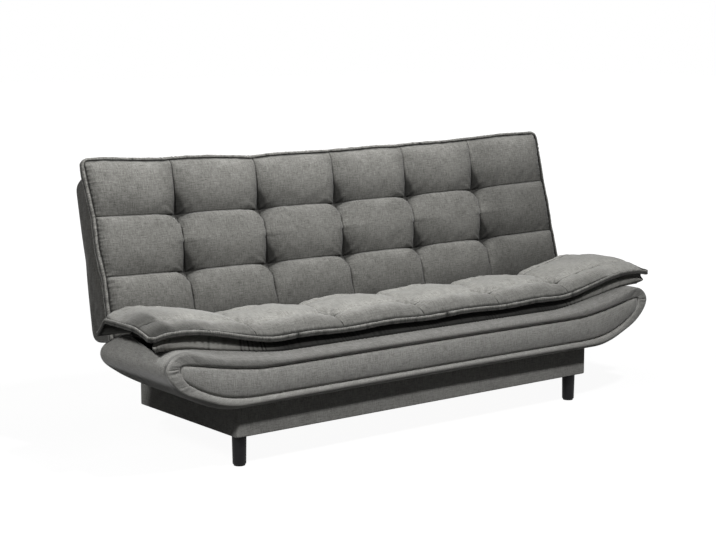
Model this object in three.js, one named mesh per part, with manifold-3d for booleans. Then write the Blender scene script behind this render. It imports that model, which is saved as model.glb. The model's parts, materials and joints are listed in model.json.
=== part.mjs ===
// A click clack sofa bed: a boat-shaped seat and a tufted back on a low bedding box.
// Millimetres, +Z up, +X to the viewer's right, the front of the sofa faces -Y.
// Heights count from the floor and depths from the front face of the plinth; the whole
// group is moved at the end so that its origin lies under the middle of its bounding box.
import * as THREE from 'three';
import Module from 'manifold-3d';
import { mergeVertices } from 'three/addons/utils/BufferGeometryUtils.js';

const wasm = await Module();
wasm.setup();

// General clearances
const fit = 0.3;
const overrun = 20;
const mergeWithin = 0.001;

// Legs, their glides and their mounting plates
const legHeight = 98;
const legRadius = 23;
const legTaper = 2;
const legEdge = 3;
const legInsetY = 46;
const rearLegInset = 250;
const legSides = 20;
const holeSides = 12;
const glideHeight = 4;
const glideRadius = 18;
const glideEdge = 1;
const studRadius = 4;
const studLength = 36;
const studClear = 0.6;
const legPlateThickness = 3;
const legPlateWidth = 40;
const legPlateDepth = 52;

// Plinth, which is the bedding box
const plinthEndIn = 204;
const plinthDepth = 571;
const plinthHeight = 99;
const plinthBoard = 18;
const floorBoard = 6;
const blockWidth = 40;
const blockDepth = 44;
const blockHeight = 66;

// Upholstered seat body
const seatOverhang = 44;
const seatDepth = 366;
const seatEndOut = 64;
const seatTipRound = 64;
const seatKeelRun = 254;
const seatRiseRun = 390;
const seatHeight = 163;
const seatEndRise = 33;
const seatTipDrop = 48;
const seatKeelLead = 115;
const seatTipLead = 45;
const seatEdgeRoll = 18;
const seatEdgeSteps = 2;
const seatWall = 22;
const seatTopFoam = 34;

// Lens-shaped inset between the upper and the lower roll of the seat front
const insetTipIn = 46;
const insetTaper = 298;
const insetBottomUp = 31;
const insetTopUp = 114;
const insetBottomRise = 92;
const insetTopRise = 48;
const insetBottomPower = 2.6;
const insetTopPower = 1.3;
const insetDepth = 26;
const insetEdgeIn = 9;
const insetCrown = 13;
const insetGap = 0.5;

// Seat topper: sewn channels and tufts above a gathered band
const topperEar = 26;
const topperFrontIn = 35;
const topperRearIn = 16;
const topperBand = 31;
const topperBandRise = 24;
const topperRiseRun = 370;
const topperRearDrop = 38;
const topperFlange = 8;
const topperBandIn = 16;
const topperCrown = 54;
const topperEndCrown = 24;
const topperEdgeRound = 62;
const topperSeamDip = 9;
const topperTuftDip = 15;
const topperSeamPitch = 330;
const topperRowFront = 79;
const topperRowRear = 259;
const seamReach = 26;
const tuftReach = 60;

// Timber seat frame
const railThickness = 20;
const railHeight = 90;
const railLift = 15;
const slatWidth = 60;
const slatThickness = 18;
const slatPitch = 450;
const slatCount = 3;

// Back: pad, piping and upholstered shell, measured up and back from the back pivot
const recline = 16;
const backHalf = 950;
const padTop = 510;
const padBelow = 52;
const padFront = 50;
const padThickness = 30;
const padFlange = 10;
const padCrown = 27;
const padEdgeRound = 60;
const padSeamDip = 12;
const padTuftDip = 30;
const padSag = 23;
const padRowTop = 171;
const padRowPitch = 193;
const padColumns = 6;
const shellTopDrop = 35;
const shellTopRear = 50;
const shellBottomRear = 98;
const shellBottomDrop = 36;
const shellChamferBack = 39;
const shellChamferDown = 14;
const shellEdge = 12;
const shellEdgeSteps = 2;
const shellPocketRear = 42;
const shellPocketSide = 20;
const shellPocketLow = 38;
const shellPocketHigh = 40;

// Timber back frame
const backRail = 30;
const backRailHeight = 45;
const stileWidth = 50;

// Piping
const pipingRadius = 4.5;
const pipingSides = 5;
const cornerSteps = 2;

// Click clack fittings, one set at each end
const steel = 4;
const plateGap = 1;
const seatPivotIn = 14;
const seatPivotUp = 13.7;
const backPivotBehind = 87;
const backPivotUp = 39.7;
const pinRadius = 5;
const pinHead = 9;
const pinHeadThickness = 3;
const pivotEye = 11;
const backEye = 16;
const strapHalf = 9;
const footDepth = 165;
const footHeight = 74;
const footFrontIn = 18;
const seatArmDrop = 126;
const seatArmFrontIn = 106;
const springLugIn = 23;
const springLugUp = 5;
const backArmLength = 240;
const backArmStep = 21;
const backArmIn = 5;
const backArmElbow = 26;
const backArmKnee = 96;
const sectorRadius = 34;
const notchDepth = 5;
const notchHalf = 4;
const notchTurns = [0, 37, 74];
const sectorStart = -80;
const sectorMargin = 12;
const pawlLength = 40;
const pawlNose = 3.5;
const pawlBoss = 8;
const pawlStud = 4;
const pawlRide = 0.5;
const arcSteps = 6;

// Lift springs and their anchors
const springRadius = 8;
const springHook = 26;
const springInset = 52;
const wireRadius = 1.6;
const wireSides = 5;
const anchorY = 92;
const anchorUp = 22;
const anchorThickness = 3;
const anchorRadius = 16;
const pinOverhang = 3;

// Places worked out from the sizes above
const plinthHalf = backHalf - plinthEndIn;
const seatTipHalf = backHalf + seatEndOut;
const plinthTop = legHeight + plinthHeight;
const boxInnerHalf = plinthHalf - plinthBoard;
const floorUnder = legHeight + fit + legPlateThickness + fit;
const floorTop = floorUnder + floorBoard;
const seatShoulderHalf = seatTipHalf - seatTipRound;
const seatFlatHalf = seatTipHalf - seatKeelRun;
const seatRiseStart = seatShoulderHalf - seatRiseRun;
const insetHalf = seatTipHalf - insetTipIn;
const insetFlatHalf = insetHalf - insetTaper;
const topperHalf = seatTipHalf + topperEar;
const topperRiseStart = seatShoulderHalf - topperRiseRun;
const seatBottom = plinthTop + fit;
const seatTop = seatBottom + seatHeight;
const seatFront = -seatOverhang;
const seatRear = seatFront + seatDepth;
const seatPivotY = seatRear - seatPivotIn;
const seatPivotZ = seatTop + seatPivotUp;
const backPivotY = seatRear + backPivotBehind;
const backPivotZ = seatTop + backPivotUp;
const seatArmFront = seatFront + seatArmFrontIn;
const springLugY = seatPivotY - springLugIn;
const topperFront = seatFront + topperFrontIn;
const topperRear = seatRear - topperRearIn;
const pipingOut = pipingRadius + fit;
const hingeOuter = boxInnerHalf - fit;
const hingeInner = hingeOuter - steel;
const armOuter = hingeInner - plateGap;
const armInner = armOuter - steel;
const frameHalf = armInner - fit;
const slotInner = armInner - fit - pinHeadThickness - plateGap;
const slotOuter = hingeOuter + fit + pinHeadThickness + plateGap;
const springX = hingeOuter - springInset;
const padBack = padFront - padThickness;

const colours = {
  cover: { color: 0x7d7c77, roughness: 0.95, metalness: 0 },
  coverLight: { color: 0x8d8c87, roughness: 0.95, metalness: 0 },
  piping: { color: 0x5f5e5a, roughness: 0.9, metalness: 0 },
  timber: { color: 0xb08a5a, roughness: 0.75, metalness: 0 },
  board: { color: 0x8f7a5c, roughness: 0.85, metalness: 0 },
  blackSteel: { color: 0x1b1b1e, roughness: 0.45, metalness: 0.2 },
  zincSteel: { color: 0xa9adb0, roughness: 0.4, metalness: 0.9 },
  rubber: { color: 0x141414, roughness: 0.9, metalness: 0 },
};

// A smooth step from 0 at the first value to 1 at the second
function ease(from, to, value) {
  const t = Math.min(Math.max((value - from) / (to - from), 0), 1);
  return t * t * (3 - 2 * t);
}

// The geometry with position alone, its shared corners merged and its faces pointing out
function closed(geometry) {
  const bare = geometry.clone();
  bare.deleteAttribute('normal');
  bare.deleteAttribute('uv');
  const merged = mergeVertices(bare, mergeWithin);
  const p = merged.getAttribute('position');
  const index = Array.from(merged.index.array);
  const corner = [new THREE.Vector3(), new THREE.Vector3(), new THREE.Vector3()];
  let volume = 0;
  for (let i = 0; i < index.length; i += 3) {
    corner.forEach((v, k) => v.fromBufferAttribute(p, index[i + k]));
    volume += corner[0].dot(corner[1].clone().cross(corner[2]));
  }
  if (volume < 0) {
    for (let i = 0; i < index.length; i += 3) {
      [index[i + 1], index[i + 2]] = [index[i + 2], index[i + 1]];
    }
  }
  merged.setIndex(index);
  return merged;
}

function toSolid(geometry) {
  const g = closed(geometry);
  return new wasm.Manifold(new wasm.Mesh({
    numProp: 3,
    vertProperties: new Float32Array(g.getAttribute('position').array),
    triVerts: new Uint32Array(g.index.array),
  }));
}

function toGeometry(solid) {
  const mesh = solid.getMesh();
  const g = new THREE.BufferGeometry();
  g.setAttribute('position', new THREE.BufferAttribute(new Float32Array(mesh.vertProperties), 3));
  g.setIndex(Array.from(mesh.triVerts));
  return g;
}

// Joins the first list of geometries and cuts the second list out of them
function shaped(joined, cut = []) {
  let solid = toSolid(joined[0]);
  joined.slice(1).forEach((g) => {
    solid = solid.add(toSolid(g));
  });
  cut.forEach((g) => {
    solid = solid.subtract(toSolid(g));
  });
  return toGeometry(solid);
}

// A box between two corners
function box(x0, x1, y0, y1, z0, z1) {
  const g = new THREE.BoxGeometry(x1 - x0, y1 - y0, z1 - z0);
  return g.translate((x0 + x1) / 2, (y0 + y1) / 2, (z0 + z1) / 2);
}

// A flat outline drawn in depth and height, made solid from x0 to x1
function alongX(shape, x0, x1, options = {}) {
  const g = new THREE.ExtrudeGeometry(shape, { depth: x1 - x0, bevelEnabled: false, ...options });
  const turn = new THREE.Matrix4().makeBasis(
    new THREE.Vector3(0, 1, 0),
    new THREE.Vector3(0, 0, 1),
    new THREE.Vector3(1, 0, 0),
  );
  return g.applyMatrix4(turn).translate(x0, 0, 0);
}

// A flat outline drawn in length and height, made solid from y0 back to y1
function alongY(shape, y0, y1, options = {}) {
  const g = new THREE.ExtrudeGeometry(shape, { depth: y1 - y0, bevelEnabled: false, ...options });
  const turn = new THREE.Matrix4().makeBasis(
    new THREE.Vector3(1, 0, 0),
    new THREE.Vector3(0, 0, 1),
    new THREE.Vector3(0, -1, 0),
  );
  return g.applyMatrix4(turn).translate(0, y1, 0);
}

// A bar with round ends between two points, as an outline
function barShape(a, b, radius) {
  const turn = Math.atan2(b[1] - a[1], b[0] - a[0]);
  const shape = new THREE.Shape();
  shape.absarc(a[0], a[1], radius, turn + Math.PI / 2, turn + 1.5 * Math.PI, false);
  shape.absarc(b[0], b[1], radius, turn - Math.PI / 2, turn + Math.PI / 2, false);
  shape.closePath();
  return shape;
}

function bar(a, b, radius, x0, x1) {
  return alongX(barShape(a, b, radius), x0, x1, { curveSegments: arcSteps });
}

// A round rod along X
function rod(y, z, radius, x0, x1) {
  const g = new THREE.CylinderGeometry(radius, radius, x1 - x0, holeSides);
  return g.rotateZ(Math.PI / 2).translate((x0 + x1) / 2, y, z);
}

// The mirror image in the middle plane of the sofa
function mirrored(geometry) {
  return closed(geometry.clone().scale(-1, 1, 1));
}

// A closed skin through rows of points; every row has the same number of points
function skin(rows, faces) {
  const position = rows.flat().flatMap((p) => [p.x, p.y, p.z]);
  const g = new THREE.BufferGeometry();
  g.setAttribute('position', new THREE.Float32BufferAttribute(position, 3));
  g.setIndex(faces);
  return closed(g);
}

// A padded piece over a grid: its face, then rings that lead from the rim of the face to
// the flat underside. face(x, y) and each ring(x, y) give a point for a place of the grid.
function padSolid(xs, ys, face, rings) {
  const last = ys.length - 1;
  const grid = xs.map((x) => ys.map((y) => face(x, y)));
  const points = grid.flat();
  const faces = [];
  const quad = (a, b, c, d) => faces.push(a, b, c, a, c, d);
  const at = (i, j) => i * ys.length + j;
  for (let i = 0; i < xs.length - 1; i += 1) {
    for (let j = 0; j < last; j += 1) {
      quad(at(i, j), at(i + 1, j), at(i + 1, j + 1), at(i, j + 1));
    }
  }
  const rim = [];
  xs.forEach((x, i) => rim.push([i, 0]));
  ys.slice(1).forEach((y, j) => rim.push([xs.length - 1, j + 1]));
  xs.slice(0, -1).forEach((x, i) => rim.push([xs.length - 2 - i, last]));
  ys.slice(1, -1).forEach((y, j) => rim.push([0, last - 1 - j]));
  let above = rim.map(([i, j]) => at(i, j));
  rings.forEach((ring) => {
    const start = points.length;
    rim.forEach(([i, j]) => points.push(ring(xs[i], ys[j])));
    const below = rim.map((place, k) => start + k);
    rim.forEach((place, k) => {
      const next = (k + 1) % rim.length;
      quad(above[next], above[k], below[k], below[next]);
    });
    above = below;
  });
  const base = (i, j) => above[rim.findIndex((place) => place[0] === i && place[1] === j)];
  const end = xs.length - 1;
  for (let i = 1; i < end - 1; i += 1) {
    quad(base(i, 0), base(i, last), base(i + 1, last), base(i + 1, 0));
  }
  for (let j = 0; j < last; j += 1) {
    faces.push(base(1, 0), base(0, j), base(0, j + 1));
    faces.push(base(end - 1, 0), base(end, j + 1), base(end, j));
  }
  faces.push(base(1, 0), base(0, last), base(1, last));
  faces.push(base(end - 1, 0), base(end - 1, last), base(end, last));
  return skin([points], faces);
}

// A closed ring of round section, with an edge of the section towards what it is sewn to.
// path gives, in order, a centre and its outward direction
function pipingRing(path, up) {
  const points = [];
  const faces = [];
  path.forEach(({ centre, out }) => {
    for (let k = 0; k < pipingSides; k += 1) {
      const a = (2 * Math.PI * k) / pipingSides;
      points.push(centre.clone()
        .addScaledVector(out, -pipingRadius * Math.cos(a))
        .addScaledVector(up, pipingRadius * Math.sin(a)));
    }
  });
  const n = path.length;
  for (let i = 0; i < n; i += 1) {
    for (let k = 0; k < pipingSides; k += 1) {
      const a = i * pipingSides + k;
      const b = i * pipingSides + ((k + 1) % pipingSides);
      const c = ((i + 1) % n) * pipingSides + ((k + 1) % pipingSides);
      const d = ((i + 1) % n) * pipingSides + k;
      faces.push(a, b, c, a, c, d);
    }
  }
  return skin([points], faces);
}

// Places along a run of cells, close together beside each seam
function stations(seams, shares) {
  const places = [];
  for (let i = 0; i < seams.length - 1; i += 1) {
    shares.forEach((share) => places.push(seams[i] + share * (seams[i + 1] - seams[i])));
  }
  places.push(seams[seams.length - 1]);
  return places;
}

// How near a place is to the nearest inner seam: 1 on it, falling to 0 beyond the reach
function nearSeam(seams, value, reach) {
  const gaps = seams.slice(1, -1).map((seam) => Math.abs(value - seam));
  return Math.exp(-((Math.min(...gaps) / reach) ** 2));
}

// The rise of a stuffed face from its rim: 0 at the rim and 1 past the rounded edge
function rimRise(distance, round) {
  const t = Math.min(Math.max(distance / round, 0), 1);
  return Math.sqrt(1 - (1 - t) ** 2);
}

const columnShares = [0, 0.07, 0.2, 0.35, 0.5, 0.65, 0.8, 0.93];
const rowShares = [0, 0.12, 0.36, 0.64, 0.88];
const pipingShares = [0, 0.35, 0.65];
const halfShares = [0, 0.5];
const sofa = new THREE.Group();

function addPiece(parent, name, geometry, look) {
  const mesh = new THREE.Mesh(closed(geometry), new THREE.MeshStandardMaterial(colours[look]));
  mesh.name = name;
  parent.add(mesh);
  return mesh;
}

// Adds the right-hand piece and its mirror image as the left-hand one
function addPair(parent, name, geometry, look) {
  addPiece(parent, `${name}_right`, geometry, look);
  addPiece(parent, `${name}_left`, mirrored(geometry), look);
}

// Legs: turned posts that screw into plates under the corners of the box

function legGeometry() {
  const top = legHeight - fit;
  const foot = legRadius - legTaper;
  const low = glideHeight + fit;
  const profile = [
    [0, low], [foot - legEdge, low], [foot, low + legEdge], [legRadius, top],
    [studRadius, top], [studRadius, top + studLength], [0, top + studLength],
  ];
  const g = new THREE.LatheGeometry(profile.map((p) => new THREE.Vector2(...p)), legSides);
  return g.rotateX(Math.PI / 2);
}

function glideGeometry() {
  const profile = [
    [0, 0], [glideRadius - glideEdge, 0], [glideRadius, glideEdge],
    [glideRadius, glideHeight], [0, glideHeight],
  ];
  const g = new THREE.LatheGeometry(profile.map((p) => new THREE.Vector2(...p)), legSides);
  return g.rotateX(Math.PI / 2);
}

function studHole(x, y) {
  const radius = studRadius + studClear;
  const g = new THREE.CylinderGeometry(radius, radius, plinthHeight, holeSides);
  return g.rotateX(Math.PI / 2).translate(x, y, legHeight + plinthHeight / 2);
}

// The front legs stand in the corners of the box, the rear ones further in
const frontLegX = boxInnerHalf - fit - blockWidth / 2;
const rearLegX = plinthHalf - rearLegInset;
const rearLegY = plinthDepth - legInsetY;
const legPlaces = [
  ['front_left', -frontLegX, legInsetY],
  ['front_right', frontLegX, legInsetY],
  ['rear_left', -rearLegX, rearLegY],
  ['rear_right', rearLegX, rearLegY],
];

legPlaces.forEach(([place, x, y]) => {
  addPiece(sofa, `leg_${place}`, legGeometry(), 'blackSteel').position.set(x, y, 0);
  addPiece(sofa, `leg_glide_${place}`, glideGeometry(), 'rubber').position.set(x, y, 0);
  const plate = box(
    x - legPlateWidth / 2, x + legPlateWidth / 2,
    y - legPlateDepth / 2, y + legPlateDepth / 2,
    legHeight + fit, legHeight + fit + legPlateThickness,
  );
  addPiece(sofa, `leg_plate_${place}`, shaped([plate], [studHole(x, y)]), 'zincSteel');
  const blockFront = y < plinthDepth / 2
    ? plinthBoard + fit
    : plinthDepth - plinthBoard - fit - blockDepth;
  const block = box(
    x - blockWidth / 2, x + blockWidth / 2,
    blockFront, blockFront + blockDepth,
    floorTop + fit, floorTop + fit + blockHeight,
  );
  addPiece(sofa, `leg_block_${place}`, shaped([block], [studHole(x, y)]), 'timber');
});

// Plinth: front and rear boards run full length, the end boards stand between them

const longBoard = (front) => box(-plinthHalf, plinthHalf, front, front + plinthBoard, legHeight, plinthTop);
const [endFront, endRear] = [plinthBoard + fit, plinthDepth - plinthBoard - fit];
const endBoard = box(boxInnerHalf, plinthHalf, endFront, endRear, legHeight, plinthTop);
const floorPanel = box(fit - boxInnerHalf, boxInnerHalf - fit, endFront, endRear, floorUnder, floorTop);
const floorHoles = legPlaces.map(([, x, y]) => studHole(x, y));

addPiece(sofa, 'plinth_front_board', longBoard(0), 'cover');
addPiece(sofa, 'plinth_rear_board', longBoard(plinthDepth - plinthBoard), 'cover');
addPair(sofa, 'plinth_end_board', endBoard, 'cover');
addPiece(sofa, 'plinth_floor', shaped([floorPanel], floorHoles), 'board');

// Seat body: a boat-shaped foam and fabric block over a timber frame

// Height of the seat body's top at a place along the sofa; it climbs towards the ends
function bodyTop(x) {
  return seatTop + seatEndRise * ease(seatRiseStart, seatShoulderHalf, Math.abs(x));
}

// Columns of the seat topper, which the top of the body follows
const seatSeams = [
  -topperHalf, -2 * topperSeamPitch, -topperSeamPitch, 0,
  topperSeamPitch, 2 * topperSeamPitch, topperHalf,
];
const seatStations = stations(seatSeams, columnShares);

function boatOutline() {
  const tipZ = bodyTop(seatShoulderHalf) - seatTipDrop;
  const shoulderZ = bodyTop(seatShoulderHalf);
  const shape = new THREE.Shape();
  shape.moveTo(-seatFlatHalf, seatBottom);
  shape.lineTo(seatFlatHalf, seatBottom);
  shape.bezierCurveTo(
    seatFlatHalf + seatKeelLead, seatBottom,
    seatTipHalf, tipZ - seatTipLead,
    seatTipHalf, tipZ,
  );
  shape.quadraticCurveTo(seatTipHalf, shoulderZ, seatShoulderHalf, shoulderZ);
  seatStations.filter((x) => Math.abs(x) < seatShoulderHalf).reverse()
    .forEach((x) => shape.lineTo(x, bodyTop(x)));
  shape.lineTo(-seatShoulderHalf, shoulderZ);
  shape.quadraticCurveTo(-seatTipHalf, shoulderZ, -seatTipHalf, tipZ);
  shape.bezierCurveTo(
    -seatTipHalf, tipZ - seatTipLead,
    -seatFlatHalf - seatKeelLead, seatBottom,
    -seatFlatHalf, seatBottom,
  );
  return shape;
}

// The two seams that bound the inset, as heights at a place along the sofa
function insetRun(x) {
  return Math.max(Math.abs(x) - insetFlatHalf, 0) / (insetHalf - insetFlatHalf);
}

function insetLow(x) {
  return seatBottom + insetBottomUp + insetBottomRise * insetRun(x) ** insetBottomPower;
}

function insetHigh(x) {
  return seatBottom + insetTopUp + insetTopRise * insetRun(x) ** insetTopPower;
}

const insetShares = [0, 0.12, 0.3, 0.5, 0.7, 0.88, 1];
const insetEndShares = [1, 0.9, 0.78, 0.64, 0.48, 0.3, 0];
const insetEnd = insetEndShares.map((share) => insetFlatHalf + share * (insetHalf - insetFlatHalf));
const insetStations = [...insetEnd.map((x) => -x), 0, ...insetEnd.reverse()];

function insetOutline(gap) {
  const shape = new THREE.Shape();
  const reach = (x) => x * (1 + gap / insetHalf);
  insetStations.forEach((x, i) => {
    const move = i === 0 ? 'moveTo' : 'lineTo';
    shape[move](reach(x), insetLow(x) - gap);
  });
  [...insetStations].reverse().forEach((x) => shape.lineTo(reach(x), insetHigh(x) + gap));
  shape.closePath();
  return shape;
}

// Slot at each end that the pivots and arms pass through
const pocketHalf = slotOuter;
const pocketFront = seatFront + seatOverhang + seatWall;
const pocketRear = seatRear - seatWall;
const pocketTop = seatTop - seatTopFoam;
const slotFront = seatPivotY - pivotEye - plateGap;
const slotTop = seatPivotZ + pivotEye + plateGap;

function pivotSlot(front, low) {
  return box(slotInner, slotOuter, front, seatRear + overrun, low, slotTop);
}

function seatBodyGeometry() {
  const roll = {
    bevelEnabled: true,
    bevelThickness: seatEdgeRoll,
    bevelSize: seatEdgeRoll,
    bevelOffset: -seatEdgeRoll,
    bevelSegments: seatEdgeSteps,
    curveSegments: arcSteps,
  };
  const body = alongY(boatOutline(), seatFront + seatEdgeRoll, seatRear - seatEdgeRoll, roll);
  const pocket = box(-pocketHalf, pocketHalf, pocketFront, pocketRear, seatBottom - overrun, pocketTop);
  const recess = alongY(insetOutline(insetGap), seatFront - overrun, seatFront + insetDepth);
  const slot = pivotSlot(slotFront, seatBottom - overrun);
  return shaped([body], [pocket, recess, slot, mirrored(slot)]);
}

addPiece(sofa, 'seat_body', seatBodyGeometry(), 'cover');

function insetGeometry() {
  const spot = (x, v, y) => new THREE.Vector3(x, y, insetLow(x) + v * (insetHigh(x) - insetLow(x)));
  const rimY = seatFront + insetEdgeIn;
  const face = (x, v) => {
    const across = Math.sqrt(4 * v * (1 - v));
    const along = rimRise(insetHalf - Math.abs(x), topperEdgeRound);
    return spot(x, v, rimY - insetCrown * across * along);
  };
  return padSolid(insetStations, insetShares, face, [(x, v) => spot(x, v, seatFront + insetDepth - fit)]);
}

addPiece(sofa, 'seat_front_inset', insetGeometry(), 'cover');

// Seat topper

// Height of the topper's sewn edge: it climbs to the ends and dips at the rear corners
function flangeHeight(x, y) {
  const end = ease(topperRiseStart, seatShoulderHalf, Math.abs(x));
  const rear = ease(topperRear - tuftReach, topperRear, y);
  return bodyTop(x) + topperBand + topperBandRise * end - topperRearDrop * end * rear;
}

const seatRows = [topperFront, topperFront + topperRowFront, topperFront + topperRowRear, topperRear];

function topperFace(x, y) {
  const end = ease(topperRiseStart, seatShoulderHalf, Math.abs(x));
  const rim = rimRise(topperHalf - Math.abs(x), topperEdgeRound)
    * rimRise(Math.min(y - topperFront, topperRear - y), topperEdgeRound);
  const across = nearSeam(seatSeams, x, seamReach);
  const along = nearSeam(seatRows, y, seamReach);
  const tuft = nearSeam(seatSeams, x, tuftReach) * nearSeam(seatRows, y, tuftReach);
  const crown = topperCrown + (topperEndCrown - topperCrown) * end;
  const dip = topperSeamDip * Math.max(across, along) + topperTuftDip * tuft;
  return new THREE.Vector3(x, y, flangeHeight(x, y) + rim * (crown - dip));
}

// A place of the topper's rim moved in towards its middle
function drawnIn(x, y, inset) {
  const limit = (value, low, high) => Math.min(Math.max(value, low), high);
  return [
    limit(x, inset - topperHalf, topperHalf - inset),
    limit(y, topperFront + inset, topperRear - inset),
  ];
}

function topperGeometry() {
  const flangeUnder = (x, y) => new THREE.Vector3(x, y, flangeHeight(x, y) - topperFlange);
  const bandTop = (x, y) => {
    const [u, v] = drawnIn(x, y, topperBandIn);
    return new THREE.Vector3(u, v, flangeHeight(x, y) - topperFlange);
  };
  const bandFoot = (x, y) => {
    const [u, v] = drawnIn(x, y, topperBandIn);
    return new THREE.Vector3(u, v, bodyTop(x) + fit);
  };
  const pad = padSolid(
    seatStations, stations(seatRows, rowShares), topperFace, [flangeUnder, bandTop, bandFoot],
  );
  const slot = pivotSlot(slotFront, seatBottom);
  return shaped([pad], [slot, mirrored(slot)]);
}

addPiece(sofa, 'seat_topper', topperGeometry(), 'coverLight');

// A rectangle's outline as points with their outward directions, each corner rounded
function rimPath(xs, ys, out, place) {
  const path = [];
  const add = (x, y, angle) => {
    const n = new THREE.Vector3(Math.cos(angle), Math.sin(angle), 0);
    path.push(place(x, y, n, out));
  };
  const turn = (x, y, from) => {
    for (let k = 0; k <= cornerSteps; k += 1) {
      add(x, y, from + (Math.PI / 2) * (k / cornerSteps));
    }
  };
  const [x0, x1] = [xs[0], xs[xs.length - 1]];
  const [y0, y1] = [ys[0], ys[ys.length - 1]];
  xs.slice(1, -1).forEach((x) => add(x, y0, -Math.PI / 2));
  turn(x1, y0, -Math.PI / 2);
  ys.slice(1, -1).forEach((y) => add(x1, y, 0));
  turn(x1, y1, 0);
  [...xs].reverse().slice(1, -1).forEach((x) => add(x, y1, Math.PI / 2));
  turn(x0, y1, Math.PI / 2);
  [...ys].reverse().slice(1, -1).forEach((y) => add(x0, y, Math.PI));
  turn(x0, y0, Math.PI);
  return path;
}

function topperPipingGeometry() {
  const place = (x, y, n, out) => ({
    centre: new THREE.Vector3(x + out * n.x, y + out * n.y, flangeHeight(x, y) - topperFlange / 2),
    out: n,
  });
  const columns = stations(seatSeams, pipingShares);
  const rows = stations(seatRows, halfShares);
  return pipingRing(rimPath(columns, rows, pipingOut, place), new THREE.Vector3(0, 0, 1));
}

addPiece(sofa, 'seat_topper_piping', topperPipingGeometry(), 'piping');

// Timber seat frame inside the seat body

const railBottom = seatBottom + railLift;
const railTop = railBottom + railHeight;
const railFront = pocketFront + fit;
const railRear = pocketRear - fit;
const crossHalf = frameHalf - railThickness - fit;

const longRail = (front) => box(-crossHalf, crossHalf, front, front + railThickness, railBottom, railTop);
const endRail = box(frameHalf - railThickness, frameHalf, railFront, railRear, railBottom, railTop);

addPiece(sofa, 'seat_front_rail', longRail(railFront), 'timber');
addPiece(sofa, 'seat_rear_rail', longRail(railRear - railThickness), 'timber');
addPair(sofa, 'seat_end_rail', endRail, 'timber');
for (let i = 0; i < slatCount; i += 1) {
  const x = (i - (slatCount - 1) / 2) * slatPitch;
  const slat = box(
    x - slatWidth / 2, x + slatWidth / 2, railFront, railRear, railTop + fit, railTop + fit + slatThickness,
  );
  addPiece(sofa, `seat_slat_${i + 1}`, slat, 'timber');
}

// Click clack fittings on the plinth and the seat

const plateLow = floorTop + fit;
const sitAngle = THREE.MathUtils.degToRad(sectorStart - recline);
const noseOut = sectorRadius + pawlRide + pawlNose;
const nose = [backPivotY + noseOut * Math.cos(sitAngle), backPivotZ + noseOut * Math.sin(sitAngle)];
const pawlPivot = [nose[0] - pawlLength * Math.sin(sitAngle), nose[1] + pawlLength * Math.cos(sitAngle)];

function hingePlateGeometry() {
  const footFront = seatPivotY - footFrontIn;
  const footTop = plateLow + footHeight;
  const foot = box(hingeInner, hingeOuter, footFront, footFront + footDepth, plateLow, footTop);
  const footUp = plateLow + footHeight / 2;
  const seatPost = bar([seatPivotY, seatPivotZ], [seatPivotY, footUp], pivotEye, hingeInner, hingeOuter);
  const backPost = bar([backPivotY, backPivotZ], [backPivotY, footUp], pivotEye, hingeInner, hingeOuter);
  const pawlPost = bar([backPivotY, footTop + footHeight / 2], pawlPivot, pivotEye, hingeInner, hingeOuter);
  const stud = rod(pawlPivot[0], pawlPivot[1], pawlStud, armInner, hingeInner + fit);
  const holes = [[seatPivotY, seatPivotZ], [backPivotY, backPivotZ]]
    .map(([y, z]) => rod(y, z, pinRadius + fit, hingeInner - overrun, hingeOuter + overrun));
  return shaped([foot, seatPost, backPost, pawlPost, stud], holes);
}

function pivotPinGeometry(y, z) {
  const shank = rod(y, z, pinRadius, armInner - fit, hingeOuter + fit);
  const innerHead = rod(y, z, pinHead, armInner - fit - pinHeadThickness, armInner - fit);
  const outerHead = rod(y, z, pinHead, hingeOuter + fit, hingeOuter + fit + pinHeadThickness);
  return shaped([shank, innerHead, outerHead]);
}

addPair(sofa, 'hinge_plate', hingePlateGeometry(), 'zincSteel');
addPair(sofa, 'seat_pivot_pin', pivotPinGeometry(seatPivotY, seatPivotZ), 'zincSteel');
addPair(sofa, 'back_pivot_pin', pivotPinGeometry(backPivotY, backPivotZ), 'zincSteel');

const springLugZ = seatBottom + springLugUp;
const pinEnd = springX - wireRadius - pinOverhang;

function seatArmGeometry() {
  const elbow = [seatPivotY, seatPivotZ - seatArmDrop];
  const post = bar([seatPivotY, seatPivotZ], elbow, pivotEye, armInner, armOuter);
  const beam = bar(elbow, [seatArmFront, elbow[1]], pivotEye, armInner, armOuter);
  const lug = bar([springLugY, elbow[1]], [springLugY, springLugZ], strapHalf, armInner, armOuter);
  const pin = rod(springLugY, springLugZ, pinRadius, pinEnd, armInner + fit);
  const hole = rod(seatPivotY, seatPivotZ, pinRadius + fit, armInner - overrun, armOuter + overrun);
  return shaped([post, beam, lug, pin], [hole]);
}

addPair(sofa, 'seat_arm', seatArmGeometry(), 'zincSteel');

// Lift spring: hooked on a pin of the seat arm and a pin of the anchor on the end board

const anchorZ = floorTop + anchorUp;

function anchorGeometry() {
  const plate = rod(anchorY, anchorZ, anchorRadius, hingeOuter - anchorThickness, hingeOuter);
  const pin = rod(anchorY, anchorZ, pinRadius, pinEnd, hingeOuter - anchorThickness + fit);
  return shaped([plate, pin]);
}

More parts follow.
